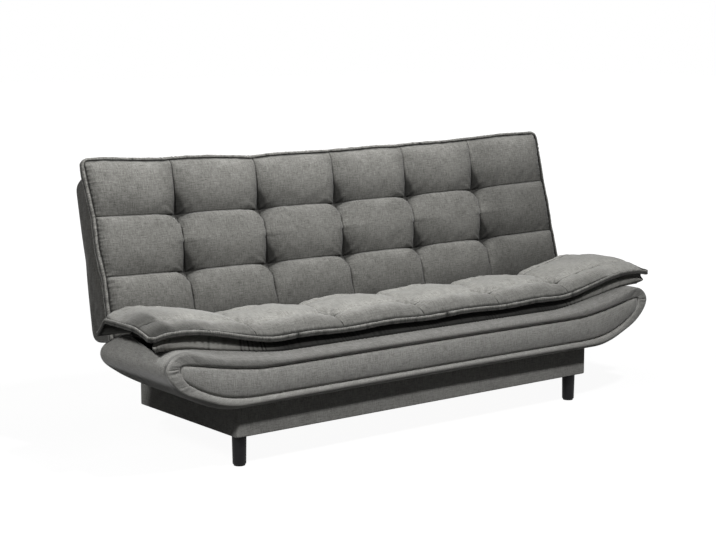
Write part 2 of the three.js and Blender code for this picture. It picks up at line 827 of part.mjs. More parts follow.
function springGeometry() {
  const from = new THREE.Vector3(springX, anchorY, anchorZ);
  const to = new THREE.Vector3(springX, springLugY, springLugZ);
  const run = to.clone().sub(from).normalize();
  const hookRadius = pinRadius + wireRadius + fit;
  const ring = (centre) => new THREE.TorusGeometry(hookRadius, wireRadius, wireSides, holeSides)
    .rotateY(Math.PI / 2).translate(centre.x, centre.y, centre.z);
  const rodBetween = (a, b, radius) => {
    const g = new THREE.CylinderGeometry(radius, radius, a.distanceTo(b), holeSides);
    g.applyQuaternion(new THREE.Quaternion().setFromUnitVectors(new THREE.Vector3(0, 1, 0), run));
    const middle = a.clone().add(b).multiplyScalar(1 / 2);
    return g.translate(middle.x, middle.y, middle.z);
  };
  const along = (start, distance) => start.clone().addScaledVector(run, distance);
  const coil = rodBetween(along(from, springHook), along(to, -springHook), springRadius);
  const lowWire = rodBetween(along(from, hookRadius), along(from, springHook + wireRadius), wireRadius);
  const highWire = rodBetween(along(to, -springHook - wireRadius), along(to, -hookRadius), wireRadius);
  return shaped([coil, lowWire, highWire, ring(from), ring(to)]);
}

addPair(sofa, 'spring_anchor', anchorGeometry(), 'zincSteel');
addPair(sofa, 'lift_spring', springGeometry(), 'zincSteel');

// Pawls that hold the back at its three steps

function pawlGeometry() {
  const arm = bar(nose, pawlPivot, pawlNose, armInner, armOuter);
  const boss = bar(pawlPivot, pawlPivot, pawlBoss, armInner, armOuter);
  const hole = rod(pawlPivot[0], pawlPivot[1], pawlStud + fit, armInner - overrun, armOuter + overrun);
  return shaped([arm, boss], [hole]);
}

addPair(sofa, 'pawl', pawlGeometry(), 'zincSteel');

// Back: drawn upright from its pivot line, then leaned back as one group

const back = new THREE.Group();
back.position.set(0, backPivotY, backPivotZ);
back.rotation.x = -THREE.MathUtils.degToRad(recline);
sofa.add(back);

const padSeams = Array.from({ length: padColumns + 1 }, (v, i) => backHalf * ((2 * i) / padColumns - 1));
const padRows = [-padBelow, padTop - padRowTop - padRowPitch, padTop - padRowTop, padTop];
const padStations = stations(padSeams, columnShares);

// The pad's upper edge and rows hang a little in the middle of the sofa
function sagged(x, z) {
  const depth = (z + padBelow) / (padTop + padBelow);
  return z - padSag * depth * (1 - (x / backHalf) ** 2);
}

function padFace(x, z) {
  const rim = rimRise(backHalf - Math.abs(x), padEdgeRound)
    * rimRise(Math.min(z + padBelow, padTop - z), padEdgeRound);
  const across = nearSeam(padSeams, x, seamReach);
  const along = nearSeam(padRows, z, seamReach);
  const tuft = nearSeam(padSeams, x, tuftReach) * nearSeam(padRows, z, tuftReach);
  const dip = padSeamDip * Math.max(across, along) + padTuftDip * tuft;
  return new THREE.Vector3(x, -padFront - rim * (padCrown - dip), sagged(x, z));
}

function backPadGeometry() {
  const flangeBack = (x, z) => new THREE.Vector3(x, padFlange - padFront, sagged(x, z));
  const foot = (x, z) => {
    const u = THREE.MathUtils.clamp(x, pipingRadius - backHalf, backHalf - pipingRadius);
    const v = THREE.MathUtils.clamp(z, pipingRadius - padBelow, padTop - pipingRadius);
    return new THREE.Vector3(u, -padBack, sagged(x, v));
  };
  return padSolid(padStations, stations(padRows, rowShares), padFace, [flangeBack, foot]);
}

addPiece(back, 'back_pad', backPadGeometry(), 'cover');

function backPipingGeometry() {
  const place = (x, z, n, out) => ({
    centre: new THREE.Vector3(x + out * n.x, padFlange / 2 - padFront, sagged(x, z) + out * n.y),
    out: new THREE.Vector3(n.x, 0, n.y),
  });
  const columns = stations(padSeams, halfShares);
  return pipingRing(rimPath(columns, padRows, pipingOut, place), new THREE.Vector3(0, 1, 0));
}

addPiece(back, 'back_piping', backPipingGeometry(), 'piping');

function backShellGeometry() {
  const front = fit - padBack;
  const top = padTop - shellTopDrop;
  const shape = new THREE.Shape();
  shape.moveTo(front, -padBelow);
  shape.lineTo(shellBottomRear, -shellBottomDrop);
  shape.lineTo(shellTopRear, top - shellChamferDown);
  shape.lineTo(shellTopRear - shellChamferBack, top);
  shape.lineTo(front, top);
  shape.closePath();
  const edge = {
    bevelEnabled: true,
    bevelThickness: shellEdge,
    bevelSize: shellEdge,
    bevelOffset: -shellEdge,
    bevelSegments: shellEdgeSteps,
  };
  const shell = alongX(shape, shellEdge - backHalf, backHalf - shellEdge, edge);
  const pocket = box(
    shellPocketSide - backHalf, backHalf - shellPocketSide,
    front - overrun, shellPocketRear,
    shellPocketLow, top - shellPocketHigh,
  );
  const slot = box(
    slotInner, slotOuter,
    front - overrun, shellBottomRear + overrun,
    -padBelow - overrun, backEye + pawlLength,
  );
  return shaped([shell], [pocket, slot, mirrored(slot)]);
}

addPiece(back, 'back_shell', backShellGeometry(), 'cover');

// Timber back frame in the shell's pocket

const backFront = fit + fit - padBack;
const backRear = backFront + backRail;
const lowRailBottom = shellPocketLow + fit;
const lowRailTop = lowRailBottom + backRailHeight;
const highRailTop = padTop - shellTopDrop - shellPocketHigh - fit;
const highRailBottom = highRailTop - backRailHeight;
const backRailHalf = backHalf - shellPocketSide - fit;

const rail = (low, high) => box(-backRailHalf, backRailHalf, backFront, backRear, low, high);
const [stileLow, stileHigh] = [lowRailTop + fit, highRailBottom - fit];
const stile = (outer) => box(outer - stileWidth, outer, backFront, backRear, stileLow, stileHigh);

addPiece(back, 'back_bottom_rail', rail(lowRailBottom, lowRailTop), 'timber');
addPiece(back, 'back_top_rail', rail(highRailBottom, highRailTop), 'timber');
addPair(back, 'back_arm_stile', stile(frameHalf), 'timber');
addPair(back, 'back_end_stile', stile(backRailHalf), 'timber');

// Back arm: bolted beside the stile, cranked behind the bottom rail, with a toothed sector

function backArmGeometry() {
  const route = [
    [0, 0], [backArmStep, backArmElbow], [backArmStep, backArmKnee],
    [-backArmIn, backArmKnee + backArmElbow], [-backArmIn, backArmLength],
  ];
  const straps = route.slice(1).map((end, i) => bar(route[i], end, strapHalf, armInner, armOuter));
  const eye = rod(0, 0, backEye, armInner, armOuter);
  const sector = new THREE.Shape();
  const first = THREE.MathUtils.degToRad(sectorStart - sectorMargin);
  const end = THREE.MathUtils.degToRad(sectorStart + notchTurns[notchTurns.length - 1] + sectorMargin);
  sector.moveTo(0, 0);
  sector.lineTo(sectorRadius * Math.cos(first), sectorRadius * Math.sin(first));
  sector.absarc(0, 0, sectorRadius, first, end, false);
  sector.closePath();
  const teeth = alongX(sector, armInner, armOuter, { curveSegments: holeSides });
  const notches = notchTurns.map((turn) => {
    const a = THREE.MathUtils.degToRad(sectorStart + turn);
    const at = (r) => [r * Math.cos(a), r * Math.sin(a)];
    const inner = sectorRadius - notchDepth + notchHalf;
    return bar(at(inner), at(sectorRadius + overrun), notchHalf, armInner - overrun, armOuter + overrun);
  });
  const hole = rod(0, 0, pinRadius + fit, armInner - overrun, armOuter + overrun);
  return shaped([...straps, eye, teeth], [...notches, hole]);
}

addPair(back, 'back_arm', backArmGeometry(), 'zincSteel');

// The origin goes under the middle of the whole sofa
sofa.updateMatrixWorld(true);
const bounds = new THREE.Box3().setFromObject(sofa, true);
sofa.position.set(0, -(bounds.min.y + bounds.max.y) / 2, 0);

export default sofa;
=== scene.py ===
# %% [markdown]
# # A click clack sofa bed, dressed in Blender
# The sofa stands on a low box that holds bedding. Its seat is a boat-shaped upholstered block
# with a loose tufted cushion on top, and its back is a tufted pad on a wedge-shaped shell.
# The timber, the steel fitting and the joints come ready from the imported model. This script
# adds what an upholsterer adds: cushions, welts, covers and their finishes.

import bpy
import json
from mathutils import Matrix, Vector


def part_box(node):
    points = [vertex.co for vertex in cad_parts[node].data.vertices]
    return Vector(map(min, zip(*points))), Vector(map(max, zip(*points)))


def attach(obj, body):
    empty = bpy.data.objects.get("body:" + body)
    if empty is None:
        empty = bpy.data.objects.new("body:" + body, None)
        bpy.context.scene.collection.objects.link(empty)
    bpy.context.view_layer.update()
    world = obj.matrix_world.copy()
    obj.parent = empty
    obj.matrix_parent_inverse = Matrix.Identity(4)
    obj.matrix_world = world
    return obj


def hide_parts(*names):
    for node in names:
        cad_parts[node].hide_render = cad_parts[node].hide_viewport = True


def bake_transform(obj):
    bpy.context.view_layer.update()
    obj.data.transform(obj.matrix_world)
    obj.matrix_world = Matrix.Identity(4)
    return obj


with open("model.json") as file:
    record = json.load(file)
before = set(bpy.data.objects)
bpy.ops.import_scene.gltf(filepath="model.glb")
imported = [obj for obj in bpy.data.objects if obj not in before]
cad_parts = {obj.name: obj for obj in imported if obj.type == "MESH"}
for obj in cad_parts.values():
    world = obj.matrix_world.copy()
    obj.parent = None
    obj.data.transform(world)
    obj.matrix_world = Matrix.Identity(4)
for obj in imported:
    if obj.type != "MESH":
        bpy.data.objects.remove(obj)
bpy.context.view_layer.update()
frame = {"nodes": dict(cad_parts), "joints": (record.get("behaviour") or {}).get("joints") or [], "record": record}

# %% Modules and units
import json
from math import cos, pi, radians, sin

import bmesh
import bpy
import numpy as np

MM = 0.001
scene = bpy.context.scene
scene.view_settings.view_transform = "Standard"
joint_at = {joint["name"]: joint["pos_m"] for joint in frame["joints"]}

# %% [markdown]
# ## Camera
# The photograph was taken from the front left, a little above the seat. The place, the turn
# and the lens were found by matching the edges of the plinth, the seat and the back, so every
# edge of the model lands where the photograph has it.

# %% Camera
CAMERA_AT = (-3.356, -4.194, 1.326)           # metres
CAMERA_TURN = (radians(81.35), 0.0, radians(-38.04))
LENS_MM = 80.82
SENSOR_MM = 36.0

eye = bpy.data.cameras.new("camera")
eye.lens = LENS_MM
eye.sensor_fit = "HORIZONTAL"
eye.sensor_width = SENSOR_MM
camera = bpy.data.objects.new("camera", eye)
camera.location = CAMERA_AT
camera.rotation_euler = CAMERA_TURN
scene.collection.objects.link(camera)
scene.camera = camera
print("lens", LENS_MM, "mm")

# %% [markdown]
# ## Sizes
# Heights are above the floor. Depths count from the front of the plinth, which the packed
# model gives, so the covers always sit where the boards and the foam are.

# %% Sizes shared by the covers
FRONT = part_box("plinth_front_board")[0].y     # the plinth's front face
PLINTH_LOW, PLINTH_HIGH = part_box("plinth_front_board")[0].z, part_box("plinth_front_board")[1].z
BODY_LOW = PLINTH_HIGH + 0.3 * MM
BODY_TOP = BODY_LOW + 163 * MM
BODY_FRONT = FRONT - 44 * MM
BODY_REAR = BODY_FRONT + 366 * MM
TIP = 1014 * MM                               # half the length of the seat body
SHOULDER = TIP - 64 * MM
END_RISE = 33 * MM                            # how far the body's top climbs to its ends
print("plinth front at", round(FRONT, 4), "body top at", round(BODY_TOP, 4))


# %% Small helpers for arrays
def ease(start, end, value):
    """0 before start, 1 after end, and between them 3t^2 - 2t^3 of the share t."""
    t = np.clip((np.asarray(value, float) - start) / (end - start), 0, 1)
    return t * t * (3 - 2 * t)


def rim_rise(distance, reach):
    """A quarter of an ellipse: 0 at the rim, 1 from reach inwards."""
    t = np.clip(distance / reach, 0, 1)
    return np.sqrt(1 - (1 - t) ** 2)


def fade(distance, reach):
    """1 at no distance, and e times less for each reach."""
    return np.exp(-distance / reach)


def bell(distance, reach):
    """1 at no distance, and exp(-(distance / reach)^2) beyond."""
    return np.exp(-(distance / reach) ** 2)


def wave_noise(u, v, size, seed, count=14):
    """A smooth random field in -1..1: the mean of count sine waves of about that size, with
    directions and phases from a seeded table."""
    random = np.random.RandomState(seed)
    total = np.zeros(np.broadcast(u, v).shape)
    for _ in range(count):
        turn, phase = random.uniform(0, 2 * pi, 2)
        pitch = 2 * pi / (size * random.uniform(0.7, 1.6))
        total += np.sin(pitch * (u * np.cos(turn) + v * np.sin(turn)) + phase)
    return total / np.sqrt(count) / 1.5


def swaying(run, pitch, u, v, size, seed, sway=2.0):
    """Waves of that pitch along run, whose phase sways with the smooth random field."""
    return np.sin(run * 2 * pi / pitch + sway * wave_noise(u, v, size, seed))


def crowded(seams, counts, crowd=0.75):
    """Places between seams that crowd at each seam: in each cell the share s in -1..1 goes to
    (1 - crowd) s + crowd sin(pi s / 2)."""
    runs = []
    for low, high, count in zip(seams[:-1], seams[1:], counts):
        s = np.linspace(-1, 1, count + 1)[:-1]
        warped = (1 - crowd) * s + crowd * np.sin(pi * s / 2)
        runs.append((low + high) / 2 + warped * (high - low) / 2)
    return np.concatenate(runs + [[seams[-1]]])


# %% From arrays to meshes
def numbers(rows, columns, first=0):
    """A table of point numbers that count up row by row."""
    return first + np.arange(rows * columns).reshape(rows, columns)


def sheet_faces(table):
    """Quads between the neighbouring rows and columns of a table of point numbers."""
    near, far = table[:-1], table[1:]
    return np.stack([near[:, :-1], far[:, :-1], far[:, 1:], near[:, 1:]], -1).reshape(-1, 4)


def ring_faces(table, wrap=False):
    """As sheet_faces, for rows that are closed rings. With wrap, the last row joins the first."""
    table = np.concatenate([table, table[:1]]) if wrap else table
    return sheet_faces(np.concatenate([table, table[:, :1]], 1))


def spaced(*parts):
    """Parts of unlike shape, spread to one shape and stacked along a last axis."""
    return np.stack(np.broadcast_arrays(*parts), -1)


def run_along(points):
    """The distance from the first point to each point along an open line of points."""
    return np.concatenate([[0], np.cumsum(np.linalg.norm(np.diff(points, axis=0), axis=1))])


def border_of(grid):
    """The border of a grid, once round: up its first column and back down its last."""
    return np.concatenate([grid[:, 0], grid[-1, 1:], grid[-2::-1, -1], grid[0, -2:0:-1]])


def make_piece(name, finish, points, faces, uv=None, tone=None, smooth=True):
    """A mesh object from a material, points, faces and, for each point, a place on the cloth
    in metres and a tone of painted shade, kept as the attribute seam. Points that coincide are
    merged, and faces turned outwards."""
    mesh = bpy.data.meshes.new(name)
    mesh.from_pydata(np.reshape(points, (-1, 3)).tolist(), [], [list(map(int, f)) for f in faces])
    loops = np.zeros(len(mesh.loops), np.int32)
    mesh.loops.foreach_get("vertex_index", loops)
    if uv is not None:
        layer = mesh.uv_layers.new(name="cloth")
        layer.data.foreach_set("uv", np.reshape(uv, (-1, 2))[loops].astype(np.float32).ravel())
    if tone is not None:
        values = np.reshape(tone, -1).astype(np.float32)
        mesh.attributes.new("seam", "FLOAT", "POINT").data.foreach_set("value", values)
    shaped = bmesh.new()
    shaped.from_mesh(mesh)
    bmesh.ops.remove_doubles(shaped, verts=shaped.verts, dist=0.01 * MM)
    bmesh.ops.recalc_face_normals(shaped, faces=shaped.faces)
    for face in shaped.faces:
        face.smooth = smooth
    shaped.to_mesh(mesh)
    shaped.free()
    if finish:
        mesh.materials.append(finish)
    piece = bpy.data.objects.new(name, mesh)
    scene.collection.objects.link(piece)
    return piece


# %% [markdown]
# ## Finishes
# The whole sofa wears one cloth: a plain short-pile velour in warm grey. A pile cloth scatters
# light at its fibre ends, so it has no shine but a soft sheen at its edges, and the pile leans
# here and there, which leaves lighter and darker patches. The yarn is uneven, and shows as
# short streaks along and across the cloth. An image of cloth would repeat, so noise is used,
# stretched both ways and laid out in metres by each piece's own UV map. The seat's copy of the
# cloth is drawn lighter, which is painted light, and the back's and the shell's are drawn darker,
# which is painted shade. Where a piece's seam attribute says so, painted shade is mixed in too. An image of cloth
# would repeat, so noise is used,
# stretched both ways and laid out in metres by each piece's own UV map.

# %% A colour and a node
def linear(code):
    """A colour written as sRGB hex, as linear values: each channel c becomes c / 12.92, or
    ((c + 0.055) / 1.055) ^ 2.4 above 0.04045."""
    parts = [int(code[i:i + 2], 16) / 255 for i in (1, 3, 5)]
    return tuple(c / 12.92 if c <= 0.04045 else ((c + 0.055) / 1.055) ** 2.4 for c in parts) + (1,)


def add_node(tree, kind, inputs=None, **settings):
    """Adds a node with its settings. An input is a value, the socket that feeds it, or a node
    whose first output feeds it."""
    node = tree.nodes.new("ShaderNode" + kind)
    for key, value in settings.items():
        setattr(node, key, value)
    for key, value in (inputs or {}).items():
        value = value.outputs[0] if isinstance(value, bpy.types.Node) else value
        if isinstance(value, bpy.types.NodeSocket):
            tree.links.new(value, node.inputs[key])
        else:
            node.inputs[key].default_value = value
    return node


def new_finish(name):
    """An empty node material and its tree."""
    material = bpy.data.materials.new(name)
    material.use_nodes = True
    material.node_tree.nodes.clear()
    return material, material.node_tree


def finish_surface(tree, colour, height, strength, depth, **looks):
    """Ends a material in one surface of that colour, with bumps of that height texture. The
    looks are further inputs of the surface, with _ for each space in their names."""
    relief = add_node(tree, "Bump", {"Height": height, "Strength": strength, "Distance": depth})
    inputs = {key.replace("_", " "): value for key, value in looks.items()}
    skin = add_node(tree, "BsdfPrincipled", {"Base Color": colour, "Normal": relief, **inputs})
    add_node(tree, "OutputMaterial", {"Surface": skin})


# %% Velour cover cloth
STREAK_THIN = 3.6 * MM        # a yarn is nearer 0.5 mm, too fine to show, so it is drawn coarser
STREAK_LONG = 24 * MM
PILE_GRAIN = 4.0 * MM
NAP_PATCH = 90 * MM
CLOUD_MID = 1.775             # the middle of what the four noises of velour add up to


def velour(name, dark, light, streak=0.52, painted_shade_tone="#141413", bump=0.3):
    """Woven velour: streaks of uneven yarn both ways, a pile grain, and wide patches where the
    pile leans. Where the seam attribute says so, painted shade is mixed in: the colour goes
    towards a near-black tone and the sheen drops, in seams, creases, hollows and on sides that
    face away from the light."""
    material, tree = new_finish(name)
    cloth = add_node(tree, "TexCoord").outputs["UV"]
    weft, warp = (
        add_node(tree, "TexNoise", {"Scale": 1.0, "Detail": 2.0, "Vector": add_node(
            tree, "Mapping", {"Vector": cloth, "Scale": (1 / wide, 1 / high, 1)})})
        for wide, high in ((STREAK_LONG, STREAK_THIN), (STREAK_THIN, STREAK_LONG)))
    pile = add_node(tree, "TexNoise", {"Vector": cloth, "Scale": 1 / PILE_GRAIN, "Detail": 3.0})
    nap = add_node(tree, "TexNoise", {"Vector": cloth, "Scale": 1 / NAP_PATCH, "Detail": 4.0,
                                      "Roughness": 0.6})
    yarn = add_node(tree, "Math", {0: weft, 1: warp}, operation="ADD")
    grain = add_node(tree, "Math", {0: yarn, 1: pile}, operation="ADD")
    cloud = add_node(tree, "Math", {0: nap, 1: 0.55, 2: grain}, operation="MULTIPLY_ADD")
    level = add_node(tree, "MapRange", {"Value": cloud, "From Min": CLOUD_MID - streak,
                                        "From Max": CLOUD_MID + streak})
    shade = add_node(tree, "MixRGB", {"Fac": level, "Color1": linear(dark),
                                      "Color2": linear(light)})
    # Painted shade: the seam attribute mixes the colour towards the near-black tone and takes the sheen away.
    seam = add_node(tree, "Attribute", attribute_name="seam").outputs["Fac"]
    sewn = add_node(tree, "MixRGB", {"Fac": seam, "Color1": shade, "Color2": linear(painted_shade_tone)})
    fuzz = add_node(tree, "MapRange", {"Value": seam, "To Min": 0.45, "To Max": 0.05})
    finish_surface(tree, sewn, grain, bump, 0.9 * MM, Roughness=0.93, Specular_IOR_Level=0.15,
                   Sheen_Weight=fuzz, Sheen_Roughness=0.45)
    return material


cover_cloth = velour("velour_warm_grey", "#73726e", "#b0afab")
# The seat's copy of the velour is drawn lighter, painted light; the back's and the shell's copies are drawn
# darker, painted shade.
seat_cloth_painted_lighter = velour("velour_painted_lighter_seat", "#777671", "#b8b7b2")
back_cloth_painted_darker = velour("velour_painted_darker_back", "#676661", "#afaea9")
shell_cloth_painted_darker = velour("velour_painted_darker_shell", "#3a3936", "#676662")
welt_cloth = velour("velour_welt_bias", "#504f4c", "#a5a49f", streak=0.4, bump=0.6)
print("cloth streaks", STREAK_THIN / MM, "by", STREAK_LONG / MM, "mm")

# %% [markdown]
# ## The back cushion
# A tufted pad: one sheet of cloth is sewn down along five upright and two level seams, and
# pulled hardest where they cross. Between the seams the filling rises, and just below each
# crossing the cloth of two neighbours folds away and leaves a small dark triangle. The pad
# could be sculpted, but a formula puts each seam where it was measured. So its face is a height
# over a flat sheet, a function of the place across and the place up.

# %% Cells between seams
EDGE_CORNER = 10 * MM         # the radius of a cell's corners that aren't at a crossing
STITCH = 1.7 * MM             # how far from a seam its thread still draws the cloth in
STITCH_DEEP = 2.5 * MM


def cells(u, v, u_seams, v_seams, corner):
    """For each place: how far it lies inside its cell's rounded outline (negative outside),
    its place in the cell as shares -1..1, and its distances from the nearest crossing of
    inner seams. Only the far corners (towards +v) at a crossing have the radius corner."""
    def split(value, seams):
        index = np.clip(np.searchsorted(seams, value, "right") - 1, 0, len(seams) - 2)
        low, high = seams[index], seams[index + 1]
        return index, value - (low + high) / 2, (high - low) / 2

    iu, du, au = split(u, u_seams)
    iv, dv, av = split(v, v_seams)
    inner_u = (iu + (du > 0) > 0) & (iu + (du > 0) < len(u_seams) - 1)
    inner_v = (iv + (dv > 0) > 0) & (iv + (dv > 0) < len(v_seams) - 1)
    radius = np.where(inner_u & inner_v & (dv > 0), corner, EDGE_CORNER)
    qu, qv = np.abs(du) - au + radius, np.abs(dv) - av + radius
    beyond = np.hypot(np.maximum(qu, 0), np.maximum(qv, 0))
    inside = radius - beyond - np.minimum(np.maximum(qu, qv), 0)
    near_u, near_v = (
        value - seams[1:-1][np.argmin(np.abs(value[..., None] - seams[1:-1]), -1)]
        for value, seams in ((u, u_seams), (v, v_seams)))
    return inside, du / au, dv / av, near_u, near_v


def seam_distance(u, v, u_seams, v_seams):
    """The distance of each place from the nearest inner seam."""
    return np.minimum(*(np.abs(value[..., None] - seams[1:-1]).min(-1)
                        for value, seams in ((u, u_seams), (v, v_seams))))


def folds(near_u, near_v, seed, height=2.2 * MM, reach=42 * MM):
    """Folds that run out from each crossing: a few cosines of the angle round it, strongest a
    little way out and gone past the reach."""
    random = np.random.RandomState(seed)
    angle, distance = np.arctan2(near_v, near_u), np.hypot(near_u, near_v)
    fan = sum(random.uniform(0.4, 1) * np.cos(k * angle + random.uniform(0, 2 * pi))
              for k in (3, 5, 8, 11))
    return height * fan * fade(distance, reach) * (1 - bell(distance, 14 * MM))


RING_STEP = 20 * MM           # how far a cushion's cloth runs on from one ring to the next


def closed_cushion(name, finish, face, uv, rings, tone=None, ring_tone=0.0):
    """A closed form: a grid for the face, rings that run on from its border, and a back of
    strips between the lower and upper edge of the last ring. The rings have tones of their own."""
    n, m = face.shape[:2]
    border = border_of(numbers(n, m))
    count = len(border)
    table = np.concatenate([border[None], numbers(len(rings), count, n * m)])
    faces = sheet_faces(numbers(n, m)).tolist() + ring_faces(table).tolist()
    before = table[-1]
    low, high = before[:n], before[n + m - 2:2 * n + m - 2][::-1]
    faces += np.stack([low[:-1], high[:-1], high[1:], low[1:]], -1).tolist()
    faces.append(np.concatenate([[low[0], high[0]], before[2 * n + m - 2:]]).tolist())
    faces.append(np.concatenate([[high[-1], low[-1]], before[n:n + m - 2]]).tolist())
    points = np.concatenate([face.reshape(-1, 3)] + [np.reshape(ring, (-1, 3)) for ring in rings])
    flat_uv = uv.reshape(-1, 2)
    ring_uv = [flat_uv[border] + RING_STEP * (k + 1) for k in range(len(rings))]
    tones = None
    if tone is not None:
        ring_tones = np.broadcast_to(ring_tone, (len(rings), count))
        tones = np.concatenate([tone.ravel(), ring_tones.ravel()])
    return make_piece(name, finish, points, faces, np.concatenate([flat_uv] + ring_uv), tones)


# %% [markdown]
# A sheet that is sewn down along its seams and pressed out by its filling doesn't stay smooth:
# it draws folds towards the places that hold it. Blender's cloth solver finds them. The face
# goes in as an open sheet, held at its seams, a little larger than its frame and with air
# under it. What comes out is read back as a small move of each point.

# %% Swelling and folds from the cloth solver
CLOTH = {"quality": 5, "mass": 0.3, "tension_stiffness": 12, "compression_stiffness": 12,
         "shear_stiffness": 4, "bending_stiffness": 0.35, "use_pressure": True,
         "uniform_pressure_force": 2.0, "vertex_group_mass": "held", "shrink_min": -0.03}
CLOTH_FRAMES = 20
COARSE = 2                    # the sheet has every second line of the face's grid


def spread(coarse, shape):
    """Values of the coarse grid lines, taken to all lines by straight lines between them, and
    smoothed once along each direction by weights 1, 2, 1."""
    for axis in (0, 1):
        lines = np.arange(shape[axis])
        low = np.minimum(lines // COARSE, coarse.shape[axis] - 2)
        share = (lines - low * COARSE) / COARSE
        share = share.reshape([-1 if k == axis else 1 for k in range(3)])
        coarse = np.take(coarse, low, axis) * (1 - share) + np.take(coarse, low + 1, axis) * share
    for axis in (0, 1):
        inner = [slice(None)] * 3
        inner[axis] = slice(1, -1)
        mixed = (np.roll(coarse, 1, axis) + 2 * coarse + np.roll(coarse, -1, axis)) / 4
        coarse[tuple(inner)] = mixed[tuple(inner)]
    return coarse


def inflated(name, face, free, most):
    """How far each point of a sewn face moves when its sheet, 3 % larger than its frame, is
    pressed out for 20 frames while its border and the points with less than half a millimetre
    of free cloth are held. A move d is given back as most d / (most + |d|)."""
    sheet = face[::COARSE, ::COARSE]
    n, m = sheet.shape[:2]
    pinned = free[::COARSE, ::COARSE] < 0.5 * MM
    pinned[[0, -1]] = pinned[:, [0, -1]] = True
    held = np.flatnonzero(pinned)
    mesh = bpy.data.meshes.new(name)
    quads = sheet_faces(numbers(n, m))
    normal = np.cross(sheet[1, 0] - sheet[0, 0], sheet[0, 1] - sheet[0, 0])
    if normal @ [0, -1, 0.4] < 0:
        quads = quads[:, ::-1]
    mesh.from_pydata(sheet.reshape(-1, 3).tolist(), [], quads.tolist())
    piece = bpy.data.objects.new(name, mesh)
    scene.collection.objects.link(piece)
    piece.vertex_groups.new(name="held").add(held.tolist(), 1.0, "REPLACE")
    solver = piece.modifiers.new("cloth", "CLOTH")
    for key, value in CLOTH.items():
        setattr(solver.settings, key, value)
    solver.settings.effector_weights.gravity = 0
    solver.collision_settings.use_collision = False
    solver.point_cache.frame_start, solver.point_cache.frame_end = 1, CLOTH_FRAMES
    for step in range(CLOTH_FRAMES):
        scene.frame_set(step + 1)
    result = piece.evaluated_get(bpy.context.evaluated_depsgraph_get()).to_mesh()
    places = np.zeros(n * m * 3, np.float32)
    result.vertices.foreach_get("co", places)
    bpy.data.objects.remove(piece)
    scene.frame_set(1)
    move = places.reshape(n, m, 3).astype(float) - sheet
    size = np.linalg.norm(move, axis=2, keepdims=True)
    print(name, "swells", round(float(size.max()) / MM, 1), "mm at most")
    return spread(move * most / (most + size), face.shape)


# %% The back's own frame
RECLINE = radians(16)
_, BACK_Y, BACK_Z = joint_at["back_recline"]
PAD_HALF = 955 * MM
PAD_LOW, PAD_HIGH = -52 * MM, 510 * MM
PAD_FACE = -50 * MM
PAD_FLANGE = 10 * MM
PAD_BACK = -20 * MM
SAG = 23 * MM


def on_back(x, y, z):
    """Turns a place of the upright back, measured from its pivot, to its recline of 16
    degrees: y goes back and z up, both turned about the length."""
    return spaced(x, BACK_Y + y * cos(RECLINE) + z * sin(RECLINE),
                  BACK_Z - y * sin(RECLINE) + z * cos(RECLINE))


EDGE_X = np.array([-950, -890, -760, -690, -600, -500, -420, -350, -275, -200, -50, 100, 190, 270,
                   350, 500, 700, 800, 950]) * MM
EDGE_RISE = np.array([7, 10, 6, 6, 11, 11, 8, 4, 10, 12, 12, 15, 17, 14, 17, 15, 18, 19, 13]) * MM
SIDE_Z = np.array([-52, 50, 146, 240, 334, 420, 470, 510]) * MM
SIDE_BOW = np.array([9, 5, 0, 8, 3, 9, 13, 14]) * MM


def sagged(x, z):
    """The top edge hangs 23 mm in the middle: z less the sag times the share of the height
    times 1 - (x / half)^2. Near the top the filling, laid in by hand, raises it unevenly."""
    share = (z - PAD_LOW) / (PAD_HIGH - PAD_LOW)
    rise = np.interp(x, EDGE_X, EDGE_RISE) * np.clip(share, 0, 1) ** 6
    return z - SAG * share * (1 - (x / PAD_HALF) ** 2) + rise


def bowed(x, z):
    """The side edges bulge between the level seams, by up to 14 mm at the left and 5 mm at the
    right."""
    bow = np.interp(z, SIDE_Z, SIDE_BOW) * np.where(x < 0, -1.0, 0.35)
    return x + bow * ease(0.86 * PAD_HALF, PAD_HALF, np.abs(x))


# %% Face of the back cushion
back_columns = np.linspace(-PAD_HALF, PAD_HALF, 7)
back_columns[1:-1] -= 26 * MM
back_rows = np.array([PAD_LOW, 146 * MM, 335 * MM, PAD_HIGH])
BACK_CORNER = 52 * MM
BACK_STEPS = [60] * 6, [44, 44, 40]           # grid steps in each cell, across and up
bx, bz = np.meshgrid(crowded(back_columns, BACK_STEPS[0]), crowded(back_rows, BACK_STEPS[1]),
                     indexing="ij")


def hollow(near_u, near_v, left=20 * MM, right=42 * MM, up=85 * MM, down=26 * MM):
    """The pull of a crossing, 1 at its middle: exp(-1.3 r), where r is the distance counted in
    its reaches. The cell on the left folds over the seam, so the hollow opens to the right."""
    side, high = np.where(near_u > 0, right, left), np.where(near_v > 0, up, down)
    return np.exp(-1.3 * np.hypot(near_u / side, near_v / high))


